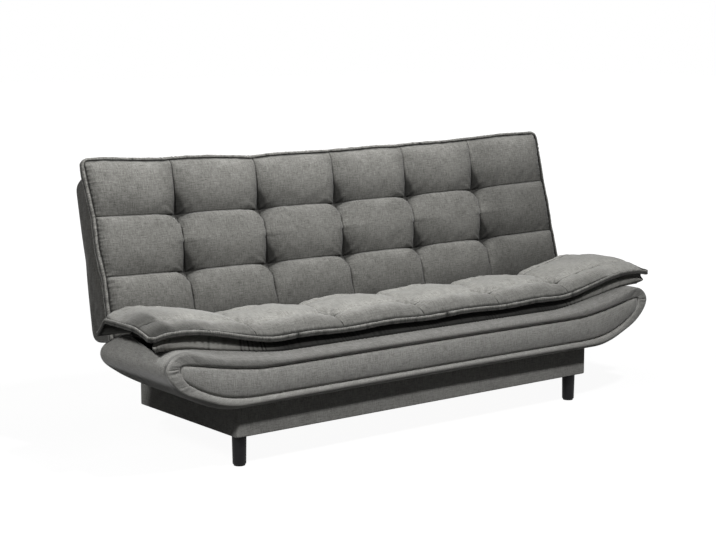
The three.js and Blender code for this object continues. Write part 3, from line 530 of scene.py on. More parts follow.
def back_height(x, z):
    """Height of the face over its sheet. Each cell is a pillow that is fullest near its top
    and falls back to the seam below it; its upper corners at a crossing are round. Seams lie
    lower than the pillows, and lowest at the crossings. Small folds and uneven filling
    are added, and the border's quarter ellipse takes all of it down to the edge."""
    inside, su, sv, near_u, near_v = cells(x, z, back_columns, back_rows, BACK_CORNER)
    side_gap, end_gap = PAD_HALF - np.abs(x), np.minimum(z - PAD_LOW, PAD_HIGH - z)
    rim = rim_rise(side_gap, 40 * MM) * rim_rise(end_gap, 34 * MM)
    full = 1 - np.clip(0.62 - (sv + 1) / 2, 0, 1) ** 2 / 0.62 ** 2
    pillow = 5 * MM + (20 * MM - 5 * MM * su ** 2) * full
    far = 1 - fade(np.hypot(near_u / (50 * MM), near_v / np.where(near_v > 0, 75 * MM, 48 * MM)), 1)
    seam = -12 * MM + 16 * MM * far + 9 * MM * far * ease(0, 60 * MM, np.abs(near_v))
    height = seam + (pillow - seam) * rim_rise(np.maximum(inside, 0), 22 * MM)
    height -= 20 * MM * hollow(near_u, near_v) * (near_v > 0)
    height = np.maximum(height, -19 * MM)
    height += folds(near_u, near_v, 4) + 1.4 * MM * wave_noise(x, z, 0.11, 5)
    pucker = swaying(z, 21 * MM, x, z, 0.1, 12) * fade(side_gap, 16 * MM)
    return rim * (height + 1.6 * MM * pucker)


back_inside, _, back_sv, back_nu, back_nv = cells(bx, bz, back_columns, back_rows, BACK_CORNER)
seam_gap = seam_distance(bx, bz, back_columns, back_rows)
# Near each seam: used to sink the face, and as painted shade along the seam.
stitch = bell(seam_gap, STITCH)
back_pull = hollow(back_nu, back_nv, down=14 * MM)
back_shade = hollow(back_nu, back_nv, 26 * MM, 62 * MM, 135 * MM, 20 * MM)
# Painted shade: each cell darker towards its bottom, which faces down, away from the light.
cell_bottom_shade = ease(0.3, -1.0, back_sv)
side_gap = PAD_HALF - np.abs(bx)
# Painted shade in the puckers along the side borders.
border_pucker_shade = (0.5 + 0.5 * swaying(bz, 14 * MM, bx, bz, 0.07, 31, 2.5)) * fade(side_gap, 13 * MM)
# Painted shade in a wedge beside and above each crossing.
wedge_side = np.where(back_nu > 0, 40 * MM, 15 * MM)
wedge_high = np.where(back_nv > 0, 120 * MM, 16 * MM)
crossing_wedge_shade = 1 - ease(0.35, 1.0, np.abs(back_nu) / wedge_side + np.abs(back_nv) / wedge_high)
end_gap = np.minimum(bz - PAD_LOW, PAD_HIGH - bz)
# Painted shade in the groove along the pad's border.
groove = bell(np.minimum(side_gap, end_gap), 3 * MM)
# Painted light: the tops of the cells stay lighter, most in the top row.
to_top = (1 - back_sv) / 2 * 180 * MM
glow = np.where(bz > back_rows[2], fade(to_top, 48 * MM), 0.45 * fade(to_top, 22 * MM))
glow *= 0.85 + 0.3 * wave_noise(bx, bz, 0.14, 41)
foot_shade = 0.28 * ease(135 * MM, 40 * MM, bz)
foot_shade += 0.18 * ease(560 * MM, 700 * MM, bx) * (bz < back_rows[2])
# All the painted shade of the face, with 0.25 more just outside each cell's rounded outline; then 0.36 of painted
# shade over the whole face, less where the cells' tops are painted lighter.
back_painted_shade = 0.7 * border_pucker_shade + 0.55 * stitch + 0.75 * back_shade + 0.5 * crossing_wedge_shade + 0.3 * cell_bottom_shade \
    + 0.25 * ease(2 * MM, -4 * MM, back_inside) + 0.9 * groove + foot_shade
back_painted_shade = 1 - (1 - 0.36 * (1 - np.clip(glow, 0, 1))) * (1 - np.clip(back_painted_shade, 0, 0.9))
row_arc = 5 * MM * bell(back_nv, 60 * MM) * (1 - bell(back_nu, 60 * MM))
back_face = on_back(bowed(bx, bz), PAD_FACE - back_height(bx, bz) + STITCH_DEEP * stitch,
                    sagged(bx, bz + row_arc))
back_face += inflated("back sheet", back_face, seam_gap - 22 * MM * back_pull, 6 * MM)
print("back cushion grid", back_face.shape[:2])

# %% Back cushion
edge_x, edge_z = border_of(bx), border_of(bz)
PAD_TUCK = 4.5 * MM           # how far the pad's rear edge lies inside its front edge
inner_x = np.clip(edge_x, -PAD_HALF + PAD_TUCK, PAD_HALF - PAD_TUCK)
inner_z = np.clip(edge_z, PAD_LOW + PAD_TUCK, PAD_HIGH - PAD_TUCK)
back_rings = [
    on_back(bowed(edge_x, edge_z), PAD_FACE + PAD_FLANGE, sagged(edge_x, edge_z)),
    on_back(bowed(inner_x, inner_z), PAD_BACK, sagged(edge_x, inner_z)),
]
back_cushion = closed_cushion("back_cushion", back_cloth_painted_darker, back_face, spaced(bx, bz), back_rings,
                              np.clip(back_painted_shade, 0, 0.93))
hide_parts("back_pad")
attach(back_cushion, "back")

# %% [markdown]
# ## The welts
# Each cushion's edge is finished with a welt: two cords side by side in a bias strip of the
# same cloth. A curve with a round bevel would give one plain cord, so the tube is made here:
# a section of two lobes, carried once round the border, that puckers a little at each stitch.

# %% A welt along a path
WELT_SIDES = 18
PUCKER = 17 * MM              # from stitch to stitch of the bias strip


def welt(name, path, out, up, lobe, gap, under=0.0):
    """A closed tube: at each point a section of two circles of radius lobe, gap
    apart along up, whose radius ripples by about an eighth at each pucker. Painted shade darkens
    the groove between the cords, the side that faces the cushion and, by the share under, the
    lower cord, which lies under the flange."""
    run = run_along(path)
    angle = np.linspace(0, 2 * pi, WELT_SIDES, endpoint=False)
    side = np.sign(np.sin(angle)) * gap / 2
    ripple = 1 + 0.14 * np.sin(run * 2 * pi / PUCKER) * wave_noise(run, 0, 0.08, 3) \
        + 0.12 * wave_noise(run, 0, 0.05, 9)
    nip = np.maximum(wave_noise(run, 0, 0.028, 15), 0) ** 2
    pinch = 1 - 0.28 * bell(np.sin(angle), 0.3)
    radius = lobe * ripple[:, None] * pinch[None]
    section = (radius * np.cos(angle))[..., None] * out[:, None] \
        + (radius * np.sin(angle) + side)[..., None] * up[:, None]
    points = path[:, None] + section
    faces = ring_faces(numbers(*points.shape[:2]), wrap=True)
    uv = spaced(run[:, None], angle[None] * lobe)
    # Painted shade: the side that faces the cushion, the groove between the cords and, by the share under, the
    # lower cord.
    inner = np.clip(-np.cos(angle) * 1.6, 0, 0.9)
    shaded = np.maximum(0.8 * bell(np.sin(angle), 0.16), under * (np.sin(angle) < 0))
    tone = np.clip(np.maximum(shaded, inner)[None] + 0.45 * nip[:, None], 0, 0.9)
    return make_piece(name, welt_cloth, points, faces, uv, tone)


def rounded_border(x0, x1, y0, y1, radius, pitch):
    """Once round a rectangle with rounded corners: x, y and the outward direction of points
    about pitch apart."""
    spans, parts = [(x0, x1), (y0, y1)], []
    corners = [(x1 - radius, y0 + radius, -pi / 2), (x1 - radius, y1 - radius, 0.0),
               (x0 + radius, y1 - radius, pi / 2), (x0 + radius, y0 + radius, pi)]
    for k, (cx, cy, start) in enumerate(corners):
        length = (spans[k % 2][1] - spans[k % 2][0]) - 2 * radius
        count = max(int(length / pitch), 2)
        before = corners[k - 1]
        run = np.linspace(0, 1, count, endpoint=False)
        ax, ay = before[0] + radius * cos(start), before[1] + radius * sin(start)
        parts.append(spaced(ax + (cx + radius * cos(start) - ax) * run,
                            ay + (cy + radius * sin(start) - ay) * run, cos(start), sin(start)))
        turn = start + np.linspace(0, pi / 2, 7, endpoint=False)
        parts.append(spaced(cx + radius * np.cos(turn), cy + radius * np.sin(turn),
                            np.cos(turn), np.sin(turn)))
    return np.concatenate(parts).T


# %% Back welt
WELT_LOBE = 6.2 * MM
WELT_GAP = 9.6 * MM
WELT_OUT = 4.6 * MM           # how far the welt's middle stands out from the pad's edge
WELT_PITCH = 7 * MM
px, pz, nx, nz = rounded_border(-PAD_HALF, PAD_HALF, PAD_LOW, PAD_HIGH, 16 * MM, WELT_PITCH)
welt_stand = WELT_OUT + 4 * MM * ease(0.5, 1.0, nx)
welt_path = on_back(bowed(px, pz) + welt_stand * nx, PAD_FACE + PAD_FLANGE / 2,
                    sagged(px, pz) + welt_stand * nz)
origin = on_back(0.0, 0.0, 0.0)
welt_out = on_back(nx, 0, nz) - origin
welt_up = on_back(0 * nx, 1, 0) - origin
back_welt = welt("back_welt", welt_path, welt_out, welt_up, WELT_LOBE, WELT_GAP)
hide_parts("back_piping")
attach(back_welt, "back")
print("back welt points", len(welt_path))

# %% [markdown]
# ## The seat cushion
# The seat cushion lies on the body like a thin mattress. It is tufted as the back is, so the
# same functions make it, on a frame that rises towards its ends with the body under it. Its
# sewn edge overhangs a gathered band, which is made of rings below the face's border.

# %% Heights that the seat follows
CUSHION_HALF = TIP + 26 * MM
CUSHION_FRONT = BODY_FRONT + 35 * MM
CUSHION_REAR = BODY_REAR - 16 * MM
FLANGE = 8 * MM
SEAT_CORNER = 46 * MM


def end_share(x):
    """How far a place lies up the rise of the seat's ends, as a share."""
    return ease(SHOULDER - 370 * MM, SHOULDER, np.abs(x))


def front_corner(x, y, reach):
    """1 at the cushion's front corners, falling off as a bell of that reach."""
    return bell(np.hypot(CUSHION_HALF - np.abs(x), y - CUSHION_FRONT), reach)


def body_top(x):
    """The body's top: level in the middle, eased up 33 mm over the 390 mm to the shoulders."""
    return BODY_TOP + END_RISE * ease(SHOULDER - 390 * MM, SHOULDER, np.abs(x))


def front_droop(x, y):
    """How far the body's round front edge lies below its top: 22 mm in the middle, less
    towards the ends, and nothing 75 mm behind the front."""
    across = 1 - ease(800 * MM, 965 * MM, np.abs(x))
    return 22 * MM * across * (1 - ease(BODY_FRONT + 5 * MM, BODY_FRONT + 75 * MM, y))


def flange_height(x, y):
    """The cushion's sewn edge: 29 mm over the body at the seams and 5 mm more between them,
    27 mm more at the ends, and dipped by 48 mm at the rear corners; along the ends it swells
    by 10 mm between the corners, and the front corners droop by 8 mm."""
    end = end_share(x)
    rear = ease(CUSHION_REAR - 60 * MM, CUSHION_REAR, y)
    middle = ease(CUSHION_FRONT + 20 * MM, CUSHION_FRONT + 110 * MM, y)
    share = np.abs(x) / (330 * MM) % 1
    wave = 2 * MM + 5 * MM * np.sin(pi * share) ** 2 * (1 - ease(600 * MM, 690 * MM, np.abs(x)))
    ear = 8 * MM * front_corner(x, y, 34 * MM)
    return body_top(x) + 27 * MM + wave + end * (27 * MM + 10 * MM * middle - 48 * MM * rear) - ear


# %% Face of the seat cushion
seat_columns = np.array([-CUSHION_HALF, -676 * MM, -346 * MM, -16 * MM, 314 * MM, 644 * MM,
                         CUSHION_HALF])
seat_rows = np.array([CUSHION_FRONT, CUSHION_FRONT + 79 * MM, CUSHION_FRONT + 259 * MM,
                      CUSHION_REAR])
SEAT_STEPS = [62] * 6, [26, 40, 18]
sx, sy = np.meshgrid(crowded(seat_columns, SEAT_STEPS[0]), crowded(seat_rows, SEAT_STEPS[1]),
                     indexing="ij")


def seat_height(x, y):
    """As back_height, on the lying cushion: fuller, flatter at its ends, and raised by 15 mm
    at the rear of its ends, where the filling is pushed up against the back (2 mm at the
    right tip)."""
    inside, su, sv, near_u, near_v = cells(x, y, seat_columns, seat_rows, SEAT_CORNER)
    end = end_share(x)
    to_front, to_rear = y - CUSHION_FRONT, CUSHION_REAR - y
    rim = rim_rise(CUSHION_HALF - np.abs(x), 74 * MM) * rim_rise(to_front, 84 * MM)
    rim = rim * rim_rise(to_rear, 70 * MM)
    roll = rim_rise(np.maximum(inside, 0), 24 * MM)
    dome = (1 - su ** 2) * (1 - sv ** 2)
    seam = (36 - 24 * end) * MM - 9 * MM * fade(np.hypot(near_u, near_v), 42 * MM)
    front_row = 1 - ease(60 * MM, 80 * MM, to_front)
    pillow = seam + (16 - 6 * end - 4 * front_row) * MM * (0.35 + 0.65 * dome) + 4 * MM
    height = seam + (pillow - seam) * roll
    height -= 10 * MM * hollow(near_u, near_v, 34 * MM, 34 * MM, 40 * MM, 40 * MM)
    rear_crown = (15 - 13 * ease(890 * MM, 970 * MM, x)) * MM
    height += rear_crown * end * bell(to_rear - 46 * MM, 26 * MM)
    height += folds(near_u, near_v, 7, 3.8 * MM, 55 * MM) + 2.0 * MM * wave_noise(x, y, 0.12, 8)
    to_seam = np.minimum(np.abs(near_u), np.abs(near_v))
    height += 1.1 * MM * wave_noise(x, y, 0.034, 19) * fade(to_seam, 30 * MM)
    pucker = swaying(x, 24 * MM, x, y, 0.1, 13) * fade(np.minimum(to_front, to_rear), 16 * MM)
    return rim * (height + 1.2 * MM * pucker)


seat_gap = seam_distance(sx, sy, seat_columns, seat_rows)
seat_stitch = bell(seat_gap, STITCH)
_, _, _, seat_nu, seat_nv = cells(sx, sy, seat_columns, seat_rows, SEAT_CORNER)
seat_pull = hollow(seat_nu, seat_nv, 36 * MM, 36 * MM, 34 * MM, 34 * MM)
behind_front = sy - CUSHION_FRONT
# Painted shade on the cushion's front slope, which turns down away from the light; less at the right end.
front_slope_shade = 0.5 * ease(62 * MM, 8 * MM, behind_front) * (1 - 0.8 * ease(760 * MM, 940 * MM, sx))
# Painted shade on the left end cell, which slopes away from the light.
left_end_shade = 0.24 * ease(-CUSHION_HALF + 150 * MM, -CUSHION_HALF + 40 * MM, sx + 0.3 * sy)
# Darker at the left end, about 95 mm behind the front.
left_tip_darkening = 0.5 * ease(955 * MM, 985 * MM, -sx) * bell(behind_front - 95 * MM, 75 * MM)
seat_edge = np.minimum(CUSHION_HALF - np.abs(sx), np.minimum(behind_front, CUSHION_REAR - sy))
# Painted shade in the groove along the cushion's border.
seat_groove = 0.6 * bell(seat_edge, 2.6 * MM)
# Painted shade along the seams and at each crossing's pull, with the marks above.
seat_dark = 0.75 * seat_stitch + 0.6 * seat_pull + left_end_shade + left_tip_darkening + front_slope_shade + seat_groove
seat_face = spaced(sx, sy, flange_height(sx, sy) + seat_height(sx, sy) - STITCH_DEEP * seat_stitch)
seat_face += inflated("seat sheet", seat_face, seat_gap - 18 * MM * seat_pull, 7 * MM)
print("seat cushion grid", seat_face.shape[:2])

# %% Seat cushion with its gathered band
ex, ey = border_of(sx), border_of(sy)
BAND_RINGS = np.linspace(0, 1, 13)


def drawn_in(inset):
    """The border scaled to lie in by the inset, and by up to 80 mm more along the two ends."""
    end_inset = inset + 80 * MM * ease(CUSHION_FRONT, CUSHION_FRONT + 50 * MM, ey)
    depth = CUSHION_REAR - CUSHION_FRONT
    return (ex * (1 - end_inset / CUSHION_HALF),
            CUSHION_FRONT + inset + (ey - CUSHION_FRONT) * (1 - 2 * inset / depth))


def band_ring(share):
    """The band under the flange at a share of its height: hidden 24 mm in under the flange,
    then bulging out over its pleats of about 14 mm, and drawn in again at the body. At the
    front corners it fills the flange, and is tucked in 14 mm more. Along the middle of the
    front it leans forward, to stand on the round edge of the body."""
    lean = (17 - 33 * share) * MM * band_middle
    top = flange_height(ex, ey) - FLANGE
    foot = body_top(ex) + 0.3 * MM - front_droop(ex, ey - 5 * MM * band_middle)
    below = share * (top - foot)
    out = ease(9 * MM, 24 * MM, below) - 0.45 * ease(top - foot - 9 * MM, top - foot, below)
    inset = 24 - 12 * band_corner + 14 * band_corner * ease(0.6, 1, share)
    inset = (inset - (15 - 8 * band_corner) * out) * MM
    inset -= 1.1 * MM * pleat * out * (1 + 0.6 * wave_noise(ex, ey, 0.15, 6))
    x, y = drawn_in(inset)
    y = y + lean * ease(CUSHION_FRONT + 80 * MM, CUSHION_FRONT, ey)
    return spaced(x, y, top + share * (foot - top))


pleat = swaying(ex + ey, 14 * MM, ex, ey, 0.09, 4, 2.5)
band_middle = 1 - ease(560 * MM, 860 * MM, np.abs(ex))
band_corner = front_corner(ex, ey, 60 * MM)
# Painted shade in the folds of the pleats.
pleat_shade = 0.4 * np.clip(-pleat * (0.35 + wave_noise(ex, ey, 0.05, 27)), 0, 1) ** 2
band_share = np.concatenate([[0], BAND_RINGS])[:, None]
# Painted shade on the band under the flange: deepest along the middle of the front, nearly as deep along the ends
# and the rear, and darker still at its foot.
band_painted_shade = 0.93 - 0.88 * ease(560 * MM, 900 * MM, np.abs(ex))
band_painted_shade = np.where(ey > CUSHION_FRONT + 40 * MM, 0.88, band_painted_shade)
band_painted_shade = np.clip(band_painted_shade + 0.6 * ease(0.75, 1, band_share) + pleat_shade, 0, 0.97)
edge_ring = spaced(ex, ey, flange_height(ex, ey) - FLANGE)
seat_rings = [edge_ring] + [band_ring(share) for share in BAND_RINGS]
seat_cushion = closed_cushion("seat_cushion", seat_cloth_painted_lighter, seat_face, spaced(sx, sy), seat_rings,
                              np.clip(seat_dark, 0, 0.9), band_painted_shade)
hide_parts("seat_topper")
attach(seat_cushion, "seat")

# %% Seat welt
SEAT_LOBE, SEAT_GAP = 4.5 * MM, 7.6 * MM
px, py, nx, ny = rounded_border(-CUSHION_HALF, CUSHION_HALF, CUSHION_FRONT, CUSHION_REAR,
                                9 * MM, WELT_PITCH)
welt_stand = (4 + 4 * front_corner(px, py, 20 * MM)) * MM
welt_path = spaced(px + welt_stand * nx, py + welt_stand * ny, flange_height(px, py) - FLANGE / 2)
# The lower cord is darkened by 0.66, painted shade under the flange.
seat_welt = welt("seat_welt", welt_path, spaced(nx, ny, 0), spaced(0 * nx, 0, 1),
                 SEAT_LOBE, SEAT_GAP, under=0.66)
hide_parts("seat_topper_piping")
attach(seat_welt, "seat")

# %% [markdown]
# ## The seat body
# The body is a block of foam on a timber frame, cut to a boat's outline and covered in one
# piece of cloth. On its front a long lens-shaped pad is set in, and the cloth between the two
# outlines is stuffed to a roll, above and below, that turns round the ends. The surface is a
# section of that roll carried once round the outline.

# %% Outlines of the body and of the inset pad
FLAT_HALF = TIP - 254 * MM
INSET_HALF = TIP - 46 * MM
INSET_FLAT = INSET_HALF - 298 * MM
TIP_HIGH = BODY_TOP + END_RISE - 48 * MM      # the tips lie 48 mm below the shoulders


def bezier(points, count):
    """Points of a Bezier curve of four control points, without its last: the usual weights of
    1 - t and t."""
    a, b, c, d = np.array(points, float)
    t = np.linspace(0, 1, count, endpoint=False)[:, None]
    return (1 - t) ** 3 * a + 3 * (1 - t) ** 2 * t * b + 3 * (1 - t) * t ** 2 * c + t ** 3 * d


def right_outline():
    """Half of the boat's outline, from the middle of its top, round the right tip, to the
    middle of its bottom, as points about 8 mm apart."""
    shoulder = BODY_TOP + END_RISE
    top_x = np.linspace(0, SHOULDER, 120, endpoint=False)
    top = np.stack([top_x, body_top(top_x)], -1)
    corner = bezier([(SHOULDER, shoulder), (SHOULDER + 42 * MM, shoulder),
                     (TIP, TIP_HIGH + 16 * MM), (TIP, TIP_HIGH)], 14)
    keel = bezier([(TIP, TIP_HIGH), (TIP, TIP_HIGH - 58 * MM), (FLAT_HALF + 105 * MM, BODY_LOW),
                   (FLAT_HALF, BODY_LOW)], 46)
    return np.concatenate([top, corner, keel, spaced(np.linspace(FLAT_HALF, 0, 90), BODY_LOW)])


def inset_edges(x):
    """Heights of the inset's lower and upper seam: level in the middle, and beyond it raised
    by powers of the share of the way to the tip."""
    run = np.maximum(np.abs(x) - INSET_FLAT, 0) / (INSET_HALF - INSET_FLAT)
    return BODY_LOW + 31 * MM + 92 * MM * run ** 2.6, BODY_LOW + 114 * MM + 48 * MM * run ** 1.3


half_outline = right_outline()
outline = np.concatenate([half_outline, (half_outline * [-1, 1])[-2:0:-1]])
outline_step = np.linalg.norm(np.roll(outline, -1, 0) - outline, axis=1)
print("outline", len(outline), "points, longest step", round(outline_step.max() / MM, 1), "mm")


# %% The seam of the inset, point for point beside the outline
def inner_outline(points):
    """For each outline point the seam point that it faces. The seam is a lens; its place
    along x follows the outline's, and near the tips it turns through the share of height."""
    x, z = points.T
    seam_x = x * (INSET_HALF - 2 * MM) / TIP
    low, high = inset_edges(seam_x)
    above = (z > (body_top(x) + BODY_LOW) / 2).astype(float)
    upper = (z > TIP_HIGH - 10 * MM).astype(float)
    at_tip = ease(SHOULDER - 110 * MM, TIP, np.abs(x))
    turning = (1 - at_tip) * upper + at_tip * ease(TIP_HIGH - 60 * MM, TIP_HIGH + 34 * MM, z)
    share = np.where(np.abs(x) < SHOULDER - 110 * MM, above, turning)
    return spaced(seam_x, low + share * (high - low))


seam_line = inner_outline(outline)


# %% Surface of the seat body
SIDE_REAR = BODY_REAR - 20 * MM               # where the skin starts to turn in at the rear
ROLL_RUN = 50 * MM                            # how much cloth the roll takes


def body_surface():
    """Rings of the body's skin. w runs from the inset's seam (0) to the outline (1): the roll
    is a plane that bows out by 6 mm, between two quarter ellipses. The one at the seam is 9 mm
    wide, and 17 mm above the pad. The one at the outline is 26 mm wide, 12 mm less at the top
    edge and 18 mm less round the tips. The top edge hangs by front_droop. Then the skin runs
    back along the sides and turns in at the rear. Cloth gathered round the tips has narrow
    creases, and one long crease along the outline. The tones are painted shade: in those
    creases, at the inset's seam, and on the top edge, which lies under the cushion's flange.
    Gives rings, places on the cloth and tones."""
    rings, places, tones = [], [], []
    x, z = outline.T
    on_top = ease(-30 * MM, -2 * MM, z - body_top(x))
    drooped = spaced(x, z - on_top * front_droop(x, BODY_FRONT))
    length = np.linalg.norm(drooped - seam_line, axis=1)
    top_edge = ease(BODY_TOP - 4 * MM, BODY_TOP, z) * (1 - ease(SHOULDER - 20 * MM, TIP, np.abs(x)))
    at_tip = ease(SHOULDER - 60 * MM, SHOULDER + 20 * MM, np.abs(x))
    round_by = (26 - 12 * top_edge * (1 - at_tip) - 18 * at_tip) * MM
    around = np.cumsum(outline_step)
    wander = around * pi / (12 * MM) + 1.6 * wave_noise(around, 0, 0.06, 17)
    valley = (1 - np.abs(np.sin(wander)) ** 0.5) * (0.6 + 0.6 * wave_noise(around, 0, 0.05, 23))
    valley = np.maximum(valley, 0) * at_tip
    for w in (1 - np.cos(np.linspace(0, pi, 19))) / 2:
        at = seam_line + w * (drooped - seam_line)
        crease = (8 + on_top) * MM * (1 - rim_rise(w * length, (9 + 8 * on_top) * MM))
        edge = round_by * (1 - rim_rise((1 - w) * length, round_by))
        arch = 4 * w * (1 - w)
        puff = (6 - 3 * at_tip - 6 * valley) * MM * arch
        rings.append(spaced(at[:, 0], BODY_FRONT + crease + edge - puff, at[:, 1]))
        places.append(ROLL_RUN * w)
        # Painted shade in the creases round the tips and on the top edge under the cushion's flange.
        tones.append(0.5 * valley * arch + 0.36 * on_top * ease(0.0, 0.8, w))
    inward = np.array([0, BODY_TOP - 20 * MM]) - outline
    inward /= np.linalg.norm(inward, axis=1)[:, None]
    rings[-1][:, [0, 2]] += 4 * MM * at_tip[:, None] * inward
    # Painted shade on the top edge, under the cushion's flange; the last ring also gets painted shade for the
    # crease along the outline at the tips.
    top_edge_shade = 0.34 * on_top * (1 - at_tip)
    tones[-1] = 0.6 * at_tip + top_edge_shade
    for share in np.linspace(0, 1, 24)[1:]:
        depth = BODY_FRONT + round_by + share * (SIDE_REAR - BODY_FRONT - round_by)
        rings.append(spaced(x, depth, z - on_top * front_droop(x, depth)))
        places.append(ROLL_RUN + share * (SIDE_REAR - BODY_FRONT))
        tones.append(top_edge_shade)
    gap = np.array([0.0, (BODY_LOW + BODY_TOP) / 2]) - outline
    gap[:, 0] = -np.sign(x) * ease(FLAT_HALF, TIP, np.abs(x)) * TIP
    gap /= np.maximum(np.linalg.norm(gap, axis=1), 0.01)[:, None]
    for turn in np.linspace(0, pi / 2, 7)[1:]:
        at = outline + 18 * MM * (1 - np.cos(turn)) * gap
        depth = SIDE_REAR + (BODY_REAR - SIDE_REAR) * np.sin(turn)
        rings.append(spaced(at[:, 0], depth, at[:, 1]))
        places.append(places[-1] + 5 * MM)
        tones.append(0 * at_tip)
    # Painted shade in the crease at the inset's seam.
    tones[0], tones[1] = 0 * at_tip + 0.97, 0 * at_tip + 0.8
    return np.array(rings), np.array(places), np.array(tones)


def to_rear_end(depth, half):
    """The share of the way to the rear from that depth, times that to the tips from half."""
    return ease(BODY_FRONT + depth, BODY_REAR, skin[..., 1]) * ease(half, TIP, np.abs(skin[..., 0]))


skin, skin_run, painted_shade_tone = body_surface()
under = 1 - ease(BODY_TOP - 60 * MM, BODY_TOP + END_RISE, skin[..., 2])
skin[..., 2] += 4 * MM * to_rear_end(40 * MM, FLAT_HALF - 60 * MM) * under
skin[..., 0] += 14 * MM * np.sign(skin[..., 0]) * to_rear_end(60 * MM, 900 * MM) * under
skin[..., 1] += 20 * MM * to_rear_end(200 * MM, 975 * MM)
print("body skin", skin.shape[:2])


# %% Seat body piece
def ring_loft(name, finish, rings, runs, tone):
    """Closed rings one after another, closed at both ends by a flat face of upright strips
    between the points that face each other above and below."""
    table = numbers(*rings.shape[:2])
    faces = ring_faces(table).tolist()
    half = rings.shape[1] // 2
    k = np.arange(half // 2)
    for ring in (table[0], table[-1]):
        faces += np.stack([ring[k], ring[k + 1], ring[half - 1 - k], ring[half - k]], -1).tolist()
        faces += np.stack([ring[-k], ring[-k - 1], ring[half + 1 + k], ring[half + k]], -1).tolist()
    uv = spaced(run_along(outline), runs[:, None])
    return make_piece(name, finish, rings, faces, uv, tone)


seat_body_cover = ring_loft("seat_body_cover", cover_cloth, skin, skin_run, painted_shade_tone)
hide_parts("seat_body")
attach(seat_body_cover, "seat")


# %% Inset pad
def inset_spot(x, v, y):
    """A place of the pad: v runs from its lower seam (0) to its upper seam (1)."""
    low, high = inset_edges(x)
    return spaced(x, y, low + v * (high - low))


INSET_WIDE = 83 * MM          # between its seams, in the middle
INSET_DEEP = 25 * MM          # how far its cloth runs in behind the body's front
inset_x = crowded(np.array([-INSET_HALF, -INSET_FLAT, INSET_FLAT, INSET_HALF]), [40, 120, 40], 0.3)
inset_v = (1 - np.cos(np.linspace(0, pi, 25))) / 2
ix, iv = np.meshgrid(inset_x, inset_v, indexing="ij")
width = inset_edges(ix)[1] - inset_edges(ix)[0]
tip_gap = INSET_HALF - np.abs(ix)
crown = rim_rise(np.minimum(iv, 1 - iv) * width, 10 * MM) * rim_rise(tip_gap, 30 * MM)
bow = 4 * iv * (1 - iv) * rim_rise(tip_gap, 200 * MM)
inset_face = inset_spot(ix, iv, BODY_FRONT + 8 * MM - 8 * MM * crown - 6 * MM * bow)
rim_x, rim_v = border_of(ix), border_of(iv)
front_inset = closed_cushion("front_inset", cover_cloth, inset_face, spaced(ix, iv * INSET_WIDE),
                             [inset_spot(rim_x, rim_v, BODY_FRONT + INSET_DEEP)])
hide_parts("seat_front_inset")
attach(front_inset, "seat")

# %% [markdown]
# ## The back shell
# Behind the pad is a wedge of foam on the timber frame, under one plain cover. A bevelled box
# would round all its edges alike, and here each has a radius of its own. So its section is a
# rounded polygon, carried along the length and drawn in to a rounded edge at each end.

# %% Section of the shell
SHELL_FRONT = PAD_BACK + 0.3 * MM
SHELL_TOP = PAD_HIGH - 35 * MM
shell_corners = np.array([
    (SHELL_FRONT, PAD_LOW), (98 * MM, -36 * MM), (50 * MM, SHELL_TOP - 14 * MM),
    (11 * MM, SHELL_TOP), (SHELL_FRONT, SHELL_TOP)])
shell_radii = np.array([10, 26, 18, 16, 6]) * MM


def stepped(start, towards, length):
    """The place at that length from start on the way towards another place."""
    return start + (towards - start) / np.linalg.norm(towards - start) * length


def rounded_polygon(corners, radii, pitch=9 * MM):
    """The outline of a polygon whose corners are rounded by quadratic curves of about that
    radius, as points about pitch apart on the sides."""
    points = []
    count = len(corners)
    for k in range(count):
        before, here, after = corners[k - 1], corners[k], corners[(k + 1) % count]
        start, stop = stepped(here, before, radii[k]), stepped(here, after, radii[k])
        t = np.linspace(0, 1, 7)[:, None]
        points.append((1 - t) ** 2 * start + 2 * t * (1 - t) * here + t ** 2 * stop)
        onward = stepped(after, here, radii[(k + 1) % count])
        steps = max(int(np.linalg.norm(onward - stop) / pitch), 2)
        points.append(stop + np.linspace(0, 1, steps + 1)[1:-1, None] * (onward - stop))
    return np.concatenate(points)


section = rounded_polygon(shell_corners, shell_radii)
section_centre = section.mean(0)
shell_edge = -1 + 0.02 * (1 - np.cos(np.linspace(0, pi / 2, 7)))
shell_x = PAD_HALF * np.concatenate([shell_edge, np.linspace(-0.97, 0.97, 150), -shell_edge[::-1]])
draw = 14 * MM * (1 - rim_rise(PAD_HALF - np.abs(shell_x), 18 * MM))
spoke = section - section_centre
shrunk = section - spoke / np.linalg.norm(spoke, axis=1)[:, None] * draw[:, None, None]
shell_points = on_back(shell_x[:, None], shrunk[..., 0], sagged(shell_x[:, None], shrunk[..., 1]))
shell_table = numbers(*shell_points.shape[:2])
shell_faces = ring_faces(shell_table).tolist()
shell_uv = spaced(shell_x[:, None], run_along(section))


def shell_end(side):
    """Rings from the shell's end edge to the middle of its side: a share r of the section, that
    swells by 5 mm x (1 - r^2) and creases a little where the cloth is pulled round the frame."""
    share = np.linspace(1, 0.02, 30)[1:, None]
    y, z = (centre + share * (start - centre) for centre, start in zip(section_centre, shrunk[0].T))
    low = 1 - ease(PAD_LOW, 180 * MM, z)
    crease = wave_noise(y * 2 + z, z - 0.4 * y, 0.05, 21) * (0.5 + 1.6 * low) * MM
    swell = (5 * MM * (1 - share ** 2) + 1.3 * crease) * ease(1.0, 0.85, share)
    return on_back(side * (PAD_HALF + swell), y, sagged(side * PAD_HALF, z)), spaced(y, z)


